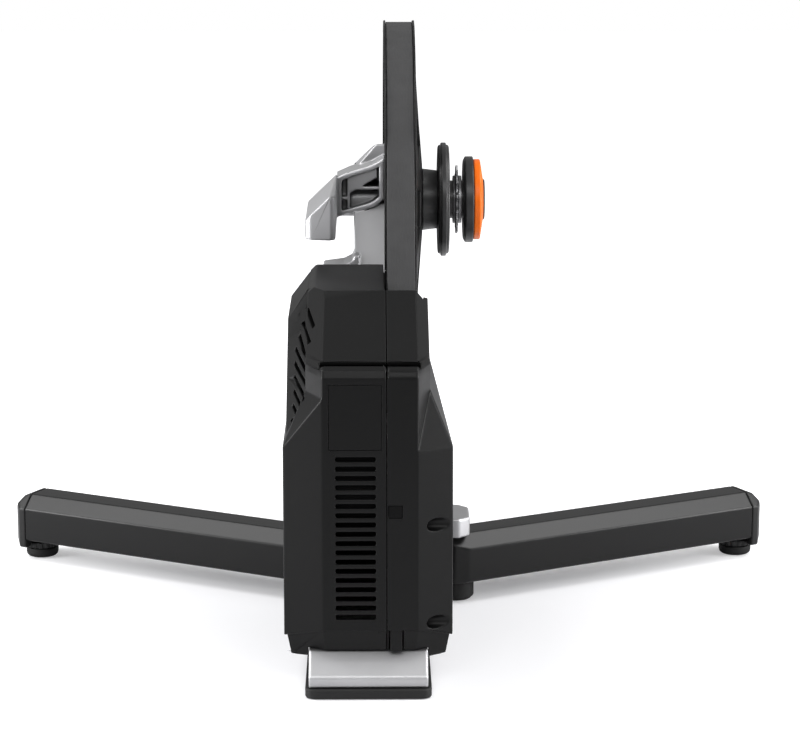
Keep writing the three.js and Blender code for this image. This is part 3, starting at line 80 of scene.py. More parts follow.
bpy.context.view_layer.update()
print(len(nodes), "CAD pieces in", len(frame["bodies"]), "bodies")

# %% [markdown]
# ## The lines that things turn round
# The axle, the flywheel's shaft and the idler roller lie along X, and the feet and the pivots of the
# legs stand upright. Many cells below need these lines. Typed in, they would be wrong after the first
# change to the CAD, so each is read here as the middle of a piece that lies on it.

# %% Where things turn
MM = 0.001
SIDES = "left", "right"


def middle(name):
    low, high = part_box(name)
    return (low + high) / 2


AXLE = middle("axle_tube").yz
SHAFT = middle("flywheel_shaft").yz
IDLER = middle("idler_roller").yz
FEET = {side: middle(f"{side}_foot_pad").xy for side in SIDES}
PIVOTS = {side: middle(f"{side}_pivot_bolt").xy for side in SIDES}
print("axle", [round(v, 4) for v in AXLE], "shaft", [round(v, 4) for v in SHAFT])

# %% [markdown]
# ## Shader arithmetic
# A material in Blender is a tree of nodes. A pattern such as "roughness plus a little noise" takes
# several Math nodes, and nobody can read the formula off them afterwards. `Value` stands for one output
# of a node. Adding, multiplying or comparing values puts the Math nodes into the tree, so the script
# holds the formula itself.

# %% Values that add up
class Value:
    """One output socket; arithmetic on it adds Math nodes."""

    def __init__(self, shader, socket):
        self.shader = shader
        self.socket = socket

    def math(self, operation, *others, clamp=False):
        settings = {"operation": operation, "use_clamp": clamp}
        return self.shader.node("ShaderNodeMath", settings, dict(enumerate((self, *others))))[0]

    def __add__(self, other):
        return self.math("ADD", other)

    def __sub__(self, other):
        return self.math("SUBTRACT", other)

    def __mul__(self, other):
        return self.math("MULTIPLY", other)

    def __pow__(self, other):
        return self.math("POWER", other)

    def __rsub__(self, other):
        return (self * -1.0) + other

    __radd__ = __add__
    __rmul__ = __mul__

    def clamp(self):
        return self.math("ADD", 0.0, clamp=True)

    def above(self, low, high):
        """0 below low, 1 above high, smooth between."""
        settings = {"interpolation_type": "SMOOTHSTEP"}
        inputs = {"Value": self, "From Min": low, "From Max": high, "To Min": 0.0, "To Max": 1.0}
        return self.shader.node("ShaderNodeMapRange", settings, inputs)["Result"]


# %% [markdown]
# ## One method for every node
# `Shader.node` makes a node of any type. Its settings go in first, because they decide which sockets
# the node has, and then each socket gets a number, a colour or another node's value. The few methods
# after it are the nodes that nearly every finish of the trainer needs.

# %% A material under construction
class Outputs:
    """A node's outputs, by name or by number, as values."""

    def __init__(self, shader, node):
        self.shader = shader
        self.made = node

    def __getitem__(self, key):
        return Value(self.shader, self.made.outputs[key])


class Shader:
    """A material that nodes are added to."""

    def __init__(self, name):
        self.material = bpy.data.materials.new(name)
        self.material.use_nodes = True
        self.tree = self.material.node_tree
        self.tree.nodes.clear()

    def node(self, kind, settings=None, inputs=None):
        made = self.tree.nodes.new(kind)
        for key, value in (settings or {}).items():
            setattr(made, key, value)
        for key, value in (inputs or {}).items():
            if isinstance(value, Value):
                self.tree.links.new(value.socket, made.inputs[key])
            else:
                made.inputs[key].default_value = value
        return Outputs(self, made)

    def place(self):
        """The shaded point in the object's own coordinates, in metres."""
        return self.node("ShaderNodeTexCoord")["Object"]

    def parts(self, vector):
        made = self.node("ShaderNodeSeparateXYZ", None, {0: vector})
        return made["X"], made["Y"], made["Z"]

    def vector(self, x, y, z):
        return self.node("ShaderNodeCombineXYZ", None, {"X": x, "Y": y, "Z": z})["Vector"]

    def noise(self, size, detail=3.0, roughness=0.5, at=None):
        """Noise from 0 to 1 whose features are about size metres across."""
        inputs = {"Scale": 1 / size, "Detail": detail, "Roughness": roughness}
        inputs["Vector"] = at or self.place()
        return self.node("ShaderNodeTexNoise", {"noise_dimensions": "3D"}, inputs)["Fac"]

    def mix(self, share, low, high):
        """A colour between two colours."""
        settings = {"data_type": "RGBA", "blend_type": "MIX"}
        return self.node("ShaderNodeMix", settings, {0: share, 6: low, 7: high})[2]

    def bump(self, height, distance, strength, normal=None):
        inputs = {"Height": height, "Distance": distance, "Strength": strength}
        if normal is not None:
            inputs["Normal"] = normal
        return self.node("ShaderNodeBump", None, inputs)["Normal"]

    def finish(self, **inputs):
        """The surface itself; keys name the sockets of the Principled node."""
        named = {}
        for key, value in inputs.items():
            named[key.replace("_", " ").title().replace("Ior", "IOR")] = value
        surface = self.node("ShaderNodeBsdfPrincipled", None, named)["BSDF"]
        self.node("ShaderNodeOutputMaterial", None, {"Surface": surface})
        return self.material


BLUE_SHARE = 1.02


def grey(value):
    """A grey with the faintest touch of blue, as black plastic and bare metal have it."""
    return (value, value, value * BLUE_SHARE, 1.0)


print("a mid grey is", grey(0.5))

# %% [markdown]
# ## Edges that catch the light, dust that lies on top
# No corner of a real trainer is sharp: each has a small radius that catches the light, and wear starts
# there. The meshes below get true radii on their larger corners. For the finest ones the Bevel node
# bends the normal as if the corner were round. Where the bent normal leaves the true one there is an
# edge, so the same node also shows where wear belongs. Dust needs no more than the Z of the normal.
# Two more helpers let a tone drift along a pattern, and put a paler colour on the edges: wear, and on
# the castings also a painted highlight.

# %% Masks for wear and dust
BEVEL_SAMPLES = 6
EDGE_FROM = 0.004
EDGE_FULL = 0.12
UPWARD_FROM = 0.3
UPWARD_FULL = 0.95


def rounded(shader, radius):
    """The surface's normal with every edge rounded to this radius."""
    return shader.node("ShaderNodeBevel", {"samples": BEVEL_SAMPLES}, {"Radius": radius})["Normal"]


def true_normal(shader):
    return shader.node("ShaderNodeNewGeometry")["Normal"]


def edge_mask(shader, radius):
    """1 on edges, 0 on faces."""
    inputs = {0: rounded(shader, radius), 1: true_normal(shader)}
    alike = shader.node("ShaderNodeVectorMath", {"operation": "DOT_PRODUCT"}, inputs)["Value"]
    return (1.0 - alike).above(EDGE_FROM, EDGE_FULL)


def upward_mask(shader):
    """1 where the surface faces up, 0 on walls and below."""
    return shader.parts(true_normal(shader))[2].above(UPWARD_FROM, UPWARD_FULL)


def toned(shader, pattern, tone, darker, paler):
    """A grey that drifts along a pattern, between two shares of its tone."""
    return shader.mix(pattern, grey(tone * darker), grey(tone * paler))


def edge_wear_and_highlight(shader, colour, radius, share, wear_and_highlight_tone):
    """A colour with a share of a paler colour on its edges: wear, and on the castings also a painted
    highlight.
    """
    return shader.mix(edge_mask(shader, radius) * share, colour, wear_and_highlight_tone)


# %% [markdown]
# ## Moulded plastic
# The casing's shells, the leg caps, the chain guards and the thumb wheels are moulded black plastic.
# Their moulds are etched by sparks, and the fine even grain that this leaves blurs every reflection.
# A picture of grain could be wrapped round each piece. Noise in the object's own space needs no
# unwrapping and has the same size everywhere, so it is used here. The tone drifts a little over a few
# centimetres, worn edges are paler, and a breath of dust lies on what faces up.

# %% Plastic
PLASTIC_DRIFT = 50 * MM
PLASTIC_GRAIN = 0.35 * MM
PLASTIC_DEPTH = 0.02 * MM
DUST_PATCH = 4 * MM
DUST_TONE = 0.25


def moulded(name, tone, roughness, edge=0.8 * MM, dust=0.0, shine=0.5):
    """Satin moulded plastic; dust is the most that covers a face that looks up."""
    shader = Shader(name)
    drift = shader.noise(PLASTIC_DRIFT, detail=2.0)
    fine = shader.noise(PLASTIC_GRAIN, detail=2.0, roughness=0.6)
    dusty = shader.noise(DUST_PATCH, detail=4.0, roughness=0.7) * upward_mask(shader) * dust
    colour = toned(shader, drift, tone, darker=0.9, paler=1.12)
    colour = edge_wear_and_highlight(shader, colour, edge, share=0.5, wear_and_highlight_tone=grey(tone * 1.8))
    colour = shader.mix(dusty.clamp(), colour, grey(DUST_TONE))
    gloss = roughness + (fine - 0.5) * 0.1 + (drift - 0.5) * 0.06
    normal = shader.bump(fine, PLASTIC_DEPTH, strength=0.6, normal=rounded(shader, edge))
    return shader.finish(base_color=colour, roughness=gloss, normal=normal, specular_ior_level=shine)


MATERIALS = {
    "casing": moulded("casing_plastic", tone=0.0035, roughness=0.4, dust=0.006, shine=0.2),
    "small_plastic": moulded("small_plastic", tone=0.01, roughness=0.4, edge=0.5 * MM, shine=0.3),
    "guard": moulded("guard_plastic", tone=0.02, roughness=0.36, edge=1.0 * MM),
    "cap": moulded("leg_cap_plastic", tone=0.01, roughness=0.42, edge=1.6 * MM, shine=0.3),
}
print("plastics:", ", ".join(MATERIALS))

# %% [markdown]
# ## Powder coat
# The legs, the tall pulley and the hub are metal under black powder coat. The powder melts into a skin
# that never gets quite level: low waves about a millimetre across, called orange peel. They are too
# low for geometry and show only in reflections, so a soft noise in the bump makes them.

# %% Coated metal
COAT_DRIFT = 80 * MM
COAT_PEEL = 1.2 * MM
COAT_SPECK = 0.3 * MM
COAT_DEPTH = 0.02 * MM


def coated(name, tone, roughness, edge, shine=0.5):
    """Dark powder coat with its fine orange peel."""
    shader = Shader(name)
    drift = shader.noise(COAT_DRIFT, detail=2.0)
    peel = shader.noise(COAT_PEEL, detail=1.0, roughness=0.4)
    speck = shader.noise(COAT_SPECK, detail=1.0)
    colour = toned(shader, drift, tone, darker=0.92, paler=1.1)
    colour = edge_wear_and_highlight(shader, colour, edge, share=0.4, wear_and_highlight_tone=grey(tone * 1.5))
    gloss = roughness + (speck - 0.5) * 0.12
    normal = shader.bump(peel + speck * 0.3, COAT_DEPTH, strength=0.5, normal=rounded(shader, edge))
    return shader.finish(base_color=colour, roughness=gloss, specular_ior_level=shine, normal=normal)


MATERIALS["leg"] = coated("leg_coat", tone=0.003, roughness=0.31, edge=1.6 * MM, shine=0.3)
MATERIALS["pulley"] = coated("pulley_coat", tone=0.006, roughness=0.42, edge=0.8 * MM, shine=0.22)
MATERIALS["hub"] = coated("hub_coat", tone=0.045, roughness=0.36, edge=0.6 * MM)
print("finishes so far:", len(MATERIALS))

# %% [markdown]
# ## Blasted castings
# The nose, the base and the upright are aluminium, cast and then blasted with grit. Blasting leaves a
# skin of small pits. The castings' edges are paler in colour, partly rubbed bright by hands and tools
# and partly a painted highlight, and their hollows are darker in colour as painted shade. The painted
# shade could be drawn in by hand, but an Ambient Occlusion node finds the hollows by itself. The two
# plates that carry the flywheel are castings painted black.

# %% Castings
CAST_CLOUD = 30 * MM
CAST_PIT = 0.9 * MM
CAST_GRIT = 0.3 * MM
CAST_DEPTH = 0.08 * MM
CAST_EDGE = 2.2 * MM
CAST_ROUGHNESS = 0.44
BRIGHTEST_TONE = 0.95
# how far the Ambient Occlusion node looks for the hollows that get painted shade
HOLLOW_REACH = 30 * MM
HOLLOW_SAMPLES = 8


def casting(name, tone):
    """Blasted casting: fine pits, rounded edges paler from wear and a painted highlight, painted shade in
    hollows.
    """
    shader = Shader(name)
    cloud = shader.noise(CAST_CLOUD, detail=3.0)
    pits = shader.noise(CAST_PIT, detail=3.0, roughness=0.65)
    grit = shader.noise(CAST_GRIT, detail=1.0)
    settings = {"samples": HOLLOW_SAMPLES, "inside": False}
    painted_shade_openness = shader.node("ShaderNodeAmbientOcclusion", settings, {"Distance": HOLLOW_REACH})["AO"]
    colour = toned(shader, cloud, tone, darker=0.93, paler=1.06)
    # the edges turn paler in colour: partly wear, partly a painted highlight
    colour = edge_wear_and_highlight(shader, colour, CAST_EDGE, share=0.8, wear_and_highlight_tone=grey(min(BRIGHTEST_TONE, tone * 2)))
    # painted shade: the colour falls to 0.4 of its tone where the Ambient Occlusion node finds a hollow
    colour = shader.mix(painted_shade_openness.above(0.35, 0.95), grey(tone * 0.4), colour)
    gloss = CAST_ROUGHNESS + (pits - 0.5) * 0.16
    skin = rounded(shader, CAST_EDGE)
    normal = shader.bump(pits + grit * 0.5, CAST_DEPTH, strength=0.5, normal=skin)
    return shader.finish(base_color=colour, metallic=0.82, roughness=gloss, normal=normal)


MATERIALS["cast"] = casting("blasted_casting", tone=0.54)
MATERIALS["dark_cast"] = casting("black_casting", tone=0.02)
print("finishes so far:", len(MATERIALS))

# %% [markdown]
# ## Turned steel
# A lathe leaves fine rings round the line that a piece turned on. Anisotropic shading would streak the
# reflections as rings do, but the rings themselves can be seen on a real part. Noise that is given only
# the place along the line and the distance from it comes out as just such rings. The dark pieces, such
# as bolts and the stator, share one grain squeezed along X. Slow stains of oil vary the tone of all.

# %% Steel
RING = 0.3 * MM
BOLT_GRAIN = 0.4 * MM
BOLT_SQUEEZE = 8.0
STAIN = 20 * MM
STEEL_DEPTH = 0.02 * MM
STEEL_EDGE = 0.4 * MM


def turned_steel(name, tone, centre=None, roughness=0.3):
    """Steel with rings round a line along X, or with a plain grain where no centre is given."""
    shader = Shader(name)
    x, y, z = shader.parts(shader.place())
    if centre is not None:
        away = ((y - centre[0]) ** 2.0 + (z - centre[1]) ** 2.0) ** 0.5
        rings = shader.noise(RING, detail=2.0, roughness=0.7, at=shader.vector(x, away, 0.0))
    else:
        squeezed = shader.vector(x * BOLT_SQUEEZE, y, z)
        rings = shader.noise(BOLT_GRAIN, detail=2.0, roughness=0.7, at=squeezed)
    stain = shader.noise(STAIN, detail=4.0, roughness=0.6)
    colour = toned(shader, stain, tone, darker=0.85, paler=1.1)
    gloss = roughness + (rings - 0.5) * 0.2 + (stain - 0.5) * 0.08
    normal = shader.bump(rings, STEEL_DEPTH, strength=0.5, normal=rounded(shader, STEEL_EDGE))
    return shader.finish(base_color=colour, metallic=1.0, roughness=gloss, normal=normal)


MATERIALS["axle_steel"] = turned_steel("axle_steel", 0.4, AXLE)
MATERIALS["carrier_steel"] = turned_steel("carrier_steel", 0.12, AXLE, roughness=0.4)
MATERIALS["bright_steel"] = turned_steel("bright_steel", 0.3, AXLE, roughness=0.42)
MATERIALS["shaft_steel"] = turned_steel("shaft_steel", 0.5, SHAFT)
MATERIALS["flywheel_steel"] = turned_steel("flywheel_steel", 0.012, SHAFT, roughness=0.5)
MATERIALS["dark_steel"] = turned_steel("dark_steel", 0.1, roughness=0.4)
print("finishes so far:", len(MATERIALS))

# %% [markdown]
# ## Rubber
# The feet, the pad under the nose and the belt are rubber: matte, with a pale bloom where wax has come
# to the surface. The pad and the belt have moulded lines. They are far finer than the pieces, so a sine
# wave along X in the bump draws them without a single extra face.

# %% Rubber and ribs
BLOOM = 20 * MM
RUBBER_SKIN = 0.5 * MM
RUBBER_DEPTH = 0.1 * MM
RUBBER_EDGE = 0.8 * MM
RUBBER_SHINE = 0.3
PAD_RIB = 6 * MM
BELT_RIB = 2.34 * MM


def rubber(name, tone, rib=None):
    """Matte rubber with a faint bloom; rib is the pitch of moulded lines along X."""
    shader = Shader(name)
    bloom = shader.noise(BLOOM, detail=5.0, roughness=0.65)
    height = shader.noise(RUBBER_SKIN, detail=2.0) * 0.3
    if rib:
        x = shader.parts(shader.place())[0]
        height = height + ((x * (2 * math.pi / rib)).math("SINE") + 1.0) * 0.5
    colour = toned(shader, bloom, tone, darker=0.8, paler=1.5)
    gloss = 0.62 + (bloom - 0.5) * 0.2
    normal = shader.bump(height, RUBBER_DEPTH, strength=0.5, normal=rounded(shader, RUBBER_EDGE))
    return shader.finish(base_color=colour, roughness=gloss, specular_ior_level=RUBBER_SHINE, normal=normal)


MATERIALS["rubber"] = rubber("foot_rubber", tone=0.004)
MATERIALS["pad"] = rubber("pad_rubber", tone=0.014, rib=PAD_RIB)
MATERIALS["belt"] = rubber("belt_rubber", tone=0.04, rib=BELT_RIB)
print("finishes so far:", len(MATERIALS))

# %% [markdown]
# ## The brake's coils
# The brake is an electromagnet, four coils of copper wire beside the flywheel. They sit inside the
# casing and are hardly seen before it is taken off. Each turn of wire could be a tube of its own, at
# the price of many thousands of faces. Two crossing sine waves in the colour and the bump stand for
# the turns instead. In the colour they are painted shade in the grooves between turns and a painted
# highlight on their crests.

# %% Coils
WIRE = 1.1 * MM
WIRE_DEPTH = 0.3 * MM
# the copper in painted shade between the turns and in painted highlight on their crests
COPPER_PAINTED_SHADE = (0.25, 0.07, 0.02, 1.0)
COPPER_PAINTED_HIGHLIGHT = (0.75, 0.3, 0.12, 1.0)


def winding(name):
    """Enamelled copper wire, wound side by side, with painted shade between the turns and a painted
    highlight on them.
    """
    shader = Shader(name)
    x, y, z = shader.parts(shader.place())
    turn = ((y + z) * (2 * math.pi / WIRE)).math("SINE")
    layer = ((y - z) * (2 * math.pi / WIRE)).math("SINE")
    wire = turn * 0.5 + layer * 0.5
    # painted shade and painted highlight: the colour follows the turns' sine waves
    colour = shader.mix(wire.above(-0.6, 0.6), COPPER_PAINTED_SHADE, COPPER_PAINTED_HIGHLIGHT)
    normal = shader.bump(wire, WIRE_DEPTH, strength=0.7)
    return shader.finish(base_color=colour, metallic=0.9, roughness=0.3, coat_weight=0.5, normal=normal)


MATERIALS["copper"] = winding("copper_winding")
print("finishes so far:", len(MATERIALS))

# %% [markdown]
# ## The control board
# The board is green lacquer over copper tracks, with gold pads and black chips. A drawing of the
# tracks could be laid over it as a picture. Noise cut into bands does for a board behind a wall, and
# the middles of Voronoi cells give the pads. The chips are solid and stand proud of the board, so the
# place along X is enough to tell them from it.

# %% Board
TRACK_BEND = 4 * MM
TRACKS_IN_BEND = 9.0
TRACK_DEPTH = 0.05 * MM
PADS_IN_METRE = 350.0
BOARD_THICKNESS = 2.0 * MM
CHIP_STEP = 0.2 * MM
CHIP_TONE = 0.02
LACQUER_DARK = (0.01, 0.09, 0.04, 1.0)
LACQUER_LIGHT = (0.02, 0.17, 0.08, 1.0)
PAD_GOLD = (0.7, 0.6, 0.35, 1.0)


def board(name):
    """Lacquered board with tracks and pads, and black chips that stand proud of it."""
    shader = Shader(name)
    x, y, z = shader.parts(shader.place())
    bends = shader.noise(TRACK_BEND, detail=1.0, at=shader.vector(0.0, y, z * 0.2))
    tracks = (bends * TRACKS_IN_BEND).math("FRACT").above(0.4, 0.5)
    cells = {"Vector": shader.place(), "Scale": PADS_IN_METRE}
    dots = shader.node("ShaderNodeTexVoronoi", {"feature": "F1"}, cells)["Distance"]
    pads = 1.0 - dots.above(0.12, 0.16)
    green = shader.mix(tracks, LACQUER_DARK, LACQUER_LIGHT)
    green = shader.mix(pads * 0.8, green, PAD_GOLD)
    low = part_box("control_board")[0]
    chip = (x - (low.x + BOARD_THICKNESS)).above(0.0, CHIP_STEP)
    colour = shader.mix(chip, green, grey(CHIP_TONE))
    normal = shader.bump(tracks, TRACK_DEPTH, strength=0.5)
    return shader.finish(base_color=colour, roughness=0.35 + chip * 0.2, normal=normal)


MATERIALS["board"] = board("circuit_board")
print("finishes so far:", len(MATERIALS))

# %% [markdown]
# ## The orange knob
# The knob shifts the sprocket sideways, until the chain runs straight, and it is the one strong colour
# on the trainer. Paint would show another colour where it is rubbed off. This knob is plastic dyed
# right through, so its edges are mixed with a paler orange only.

# %% Knob
KNOB_DRIFT = 20 * MM
KNOB_GRAIN = 0.4 * MM
KNOB_DEPTH = 0.02 * MM
KNOB_EDGE = 0.6 * MM
ORANGE_DEEP = (0.95, 0.155, 0.004, 1.0)
ORANGE_FULL = (1.0, 0.19, 0.008, 1.0)
ORANGE_WORN = (0.95, 0.3, 0.06, 1.0)


def orange_knob(name):
    """Satin orange plastic with its faint grain and paler worn edges."""
    shader = Shader(name)
    drift = shader.noise(KNOB_DRIFT, detail=3.0)
    fine = shader.noise(KNOB_GRAIN, detail=2.0)
    colour = shader.mix(drift, ORANGE_DEEP, ORANGE_FULL)
    colour = edge_wear_and_highlight(shader, colour, KNOB_EDGE, share=0.5, wear_and_highlight_tone=ORANGE_WORN)
    normal = shader.bump(fine, KNOB_DEPTH, strength=0.5, normal=rounded(shader, KNOB_EDGE))
    gloss = 0.36 + (fine - 0.5) * 0.1
    return shader.finish(base_color=colour, roughness=gloss, specular_ior_level=0.3, normal=normal)


MATERIALS["orange"] = orange_knob("orange_plastic")
print("finishes so far:", len(MATERIALS))

# %% [markdown]
# ## The dark window
# A window of smoked plastic covers the status lights. It could be made to let light through, but
# nothing is lit behind it, and a plain near-black surface looks the same and renders faster. Faint
# smears show as a change of gloss.

# %% Window
SMEAR = 3 * MM
SMEAR_DEPTH = 0.01 * MM
LENS_EDGE = 0.4 * MM


def lens(name):
    """The dark cover of the status lights, with faint smears."""
    shader = Shader(name)
    smear = shader.noise(SMEAR, detail=4.0, roughness=0.7)
    colour = shader.mix(smear, grey(0.001), grey(0.003))
    gloss = 0.3 + smear * 0.12
    normal = shader.bump(smear, SMEAR_DEPTH, strength=0.3, normal=rounded(shader, LENS_EDGE))
    return shader.finish(base_color=colour, roughness=gloss, specular_ior_level=0.12, normal=normal)


MATERIALS["lens"] = lens("status_lens")
print("finishes:", len(MATERIALS))

# %% [markdown]
# ## Which piece wears what
# The list names each CAD piece once, under its finish. A piece that is redrawn below looks its finish
# up here again, so every choice is written in one place only.

# %% Dress the CAD pieces
WEARS = {
    "casing": ["left_casing", "right_casing", "badge_plate"],
    "small_plastic": ["power_socket", "right_dropout_adapter", "left_leg_bush", "right_leg_bush",
                      "left_foot_wheel", "right_foot_wheel"],
    "guard": ["inner_guard", "outer_guard"],
    "cap": ["left_leg_cap", "right_leg_cap"],
    "lens": ["status_window"],
    "leg": ["left_leg_beam", "right_leg_beam"],
    "pulley": ["drive_pulley"],
    "hub": ["hub_body"],
    "cast": ["base_casting", "upright_casting"],
    "dark_cast": ["left_bearing_plate", "right_bearing_plate"],
    "axle_steel": ["axle_tube", "pulley_bearing_left", "pulley_bearing_right", "hub_bearing_left",
                   "hub_bearing_right", "one_way_clutch"],
    "carrier_steel": ["sprocket_carrier"],
    "bright_steel": ["sprocket", "sprocket_lockring"],
    "shaft_steel": ["flywheel_shaft", "flywheel_bearing_left", "flywheel_bearing_right", "pinion_pulley"],
    "flywheel_steel": ["flywheel"],
    "dark_steel": ["frame_bolt_front", "frame_bolt_rear", "left_plate_bolt", "right_plate_bolt",
                   "casing_screw_upper", "casing_screw_lower", "left_pivot_bolt", "right_pivot_bolt",
                   "left_dropout_adapter", "idler_roller", "brake_stator"],
    "copper": ["brake_coil_1", "brake_coil_2", "brake_coil_3", "brake_coil_4"],
    "board": ["control_board"],
    "orange": ["chain_line_knob"],
    "rubber": ["left_foot_pad", "right_foot_pad", "left_root_foot", "right_root_foot"],
    "pad": ["front_pad"],
    "belt": ["belt"],
}
LOOK = {name: look for look, names in WEARS.items() for name in names}


def dress(thing, look):
    thing.data.materials.clear()
    thing.data.materials.append(MATERIALS[look])


for name, node in nodes.items():
    dress(node, LOOK[name])
print("dressed", len(LOOK), "of", len(nodes), "pieces")

# %% [markdown]
# ## Round pieces, redrawn
# The axle, the hub, the guards, the flywheel and the feet are turned on a lathe or moulded round, but
# the CAD draws their circles with few corners. Smoothing such a mesh would also melt its shoulders.
# So each piece is turned again: its profile is read from the solid, the profile's corners get a small
# radius, and the whole is swept round in many fine steps. The lists give that radius for each piece,
# large on moulded rims and small on bearings and bolts.

# %% The round pieces and their edges
ON_AXLE = {
    "inner_guard": 3.5 * MM, "outer_guard": 1.2 * MM, "chain_line_knob": 1.2 * MM, "hub_body": 0.6 * MM,
    "sprocket_carrier": 0.4 * MM, "sprocket_lockring": 0.4 * MM, "axle_tube": 0.3 * MM,
    "left_dropout_adapter": 0.6 * MM, "right_dropout_adapter": 0.8 * MM,
    "pulley_bearing_left": 0.5 * MM, "pulley_bearing_right": 0.5 * MM,
    "hub_bearing_left": 0.5 * MM, "hub_bearing_right": 0.5 * MM, "one_way_clutch": 0.5 * MM,
}
ON_SHAFT = {
    "flywheel": 1.2 * MM, "pinion_pulley": 0.5 * MM, "flywheel_shaft": 0.6 * MM,
    "flywheel_bearing_left": 0.5 * MM, "flywheel_bearing_right": 0.5 * MM,
}
IDLER_EDGE = 0.8 * MM
FOOT_EDGE = 1.5 * MM
BOLT_EDGE = 0.6 * MM
print(len(ON_AXLE), "pieces on the axle,", len(ON_SHAFT), "on the shaft")

# %% [markdown]
# ## A profile out of a solid
# The faceted solid has its corners in planes through its axis, like the segments of an orange. The
# edges that lie in one of these planes are the profile. Joined end to end they give a chain of points,
# each with its place along the axis and its distance from it. A ring's chain closes on itself, and the
# chain of a piece that reaches the axis stays open. The profiles could also be typed in from the CAD,
# but then two scripts would have to agree for good.

# %% Read a profile from a CAD piece
ON_LINE = 1e-6
SAME_PLANE = 0.002
DIGITS = 6


def flattened(point, centre, axis):
    """A point as its place along the axis and its two distances across it."""
    if axis == "X":
        return point.x, point.y - centre[0], point.z - centre[1]
    return point.z, point.x - centre[0], point.y - centre[1]


def in_one_plane(mesh, centre, axis):
    """Which corners of the profile each of its corners is joined to."""
    flat = [flattened(vertex.co, centre, axis) for vertex in mesh.vertices]
    along, u, v = max(flat, key=lambda p: p[1] ** 2 + p[2] ** 2)
    plane = math.atan2(v, u)
    links = {}
    for edge in mesh.edges:
        ends = []
        for along, u, v in (flat[i] for i in edge.vertices):
            off = math.remainder(math.atan2(v, u) - plane, 2 * math.pi)
            if math.hypot(u, v) < ON_LINE or abs(off) < SAME_PLANE:
                ends.append((round(along, DIGITS), round(math.hypot(u, v), DIGITS)))
        if len(ends) == 2 and ends[0] != ends[1]:
            links.setdefault(ends[0], set()).add(ends[1])
            links.setdefault(ends[1], set()).add(ends[0])
    return links


def profile_of(name, centre, axis):
    """The chain of (along, radius) points of a turned piece, and whether it closes."""
    links = in_one_plane(nodes[name].data, centre, axis)
    start = next((p for p in links if len(links[p]) == 1), next(iter(links)))
    chain = [start]
    while True:
        onward = [p for p in links[chain[-1]] if p not in chain]
        if not onward:
            break
        chain.append(onward[0])
    return chain, start in links[chain[-1]] and len(chain) > 2


hub_chain, hub_closes = profile_of("hub_body", AXLE, "X")
print("the hub's profile has", len(hub_chain), "corners")

# %% [markdown]
# ## Softer corners on a profile
# A lathe hand breaks every sharp edge with a file. Here each corner gives way to a short curve that
# starts and ends the same distance from it. The curve may use less than half of each side beside it,
# so that the curves of neighbouring corners never meet. Bends that are nearly straight are left alone.

# %% Round a profile's corners
NEARLY_STRAIGHT = 0.15
REACH_SHARE = 0.45
CURVE_STEPS = 4


def softened(chain, closed, radius):
    """The same chain with its corners rounded."""
    count = len(chain)
    points = []
    for i, (u, v) in enumerate(chain):
        corner = Vector((u, v))
        before = Vector(chain[i - 1]) - corner
        after = Vector(chain[(i + 1) % count]) - corner
        at_end = not closed and i in (0, count - 1)
        if at_end or math.pi - before.angle(after) < NEARLY_STRAIGHT:
            points.append((u, v))
            continue
        tangent = math.tan((math.pi - before.angle(after)) / 2)
        reach = min(radius * tangent, before.length * REACH_SHARE, after.length * REACH_SHARE)
        a = corner + before.normalized() * reach
        b = corner + after.normalized() * reach
        for step in range(CURVE_STEPS + 1):
            t = step / CURVE_STEPS
            p = a * (1 - t) ** 2 + corner * 2 * t * (1 - t) + b * t**2
            points.append((p.x, p.y))
    return points


hub_curve = softened(hub_chain, hub_closes, ON_AXLE["hub_body"])
print("rounded, it has", len(hub_curve), "corners")

# %% [markdown]
# ## Turn the profile
# Each point of the profile becomes a ring of corners, and faces join each ring to the next. A point
# that lies on the axis is one single corner, and the faces beside it are triangles. A Screw modifier
# could sweep the profile too, but it would have to be told how to close the seam and the middle. The
# mesh is shaded smooth, except where two faces meet at more than the angle below.

# %% Turn a profile
CRISP = math.radians(32)
FINE_STEPS = 128
MID_STEPS = 64
BOLT_STEPS = 48


def mesh_object(name, bm, look, crisp=None):
    mesh = bpy.data.meshes.new(name)
    bmesh.ops.recalc_face_normals(bm, faces=bm.faces)
    bm.to_mesh(mesh)
    bm.free()
    made = bpy.data.objects.new(name, mesh)
    bpy.context.scene.collection.objects.link(made)
    dress(made, look)
    mesh.polygons.foreach_set("use_smooth", [True] * len(mesh.polygons))
    if crisp:
        mesh.set_sharp_from_angle(angle=crisp)
    return made


def ring_of(bm, along, radius, centre, axis, steps):
    ring = []
    for i in range(steps if radius > ON_LINE else 1):
        angle = 2 * math.pi * i / steps
        u, v = radius * math.cos(angle), radius * math.sin(angle)
        if axis == "X":
            ring.append(bm.verts.new((along, centre[0] + u, centre[1] + v)))
        else:
            ring.append(bm.verts.new((centre[0] + u, centre[1] + v, along)))
    return ring


def turned(name, chain, closed, centre, axis, steps, look):
    bm = bmesh.new()
    rings = [ring_of(bm, along, radius, centre, axis, steps) for along, radius in chain]
    onward = rings[1:] + rings[:1] if closed else rings[1:]
    for a, b in zip(rings, onward):
        for i in range(steps):
            j = (i + 1) % steps
            corners = [a[i % len(a)], a[j % len(a)], b[j % len(b)], b[i % len(b)]]
            unique = list(dict.fromkeys(corners))
            if len(unique) > 2:
                bm.faces.new(unique)
    return mesh_object(name, bm, look, CRISP)


# %% [markdown]
# ## Put each new piece in the old one's place
# A redrawn piece rides on the same body as the CAD piece and replaces that piece in the picture. A
# weighted normal modifier lets the large flat faces decide the shading, so that the narrow ones beside
# a corner take the whole bend.

# %% Redraw the round pieces
def tie(made, name):
    """The made object takes the place of a CAD piece."""
    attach(made, body_of[name])
    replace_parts(made, name)
    slot_of[name]


def shade_evenly(made, keep_sharp):
    weigh = made.modifiers.new("even shading", "WEIGHTED_NORMAL")
    weigh.keep_sharp = keep_sharp


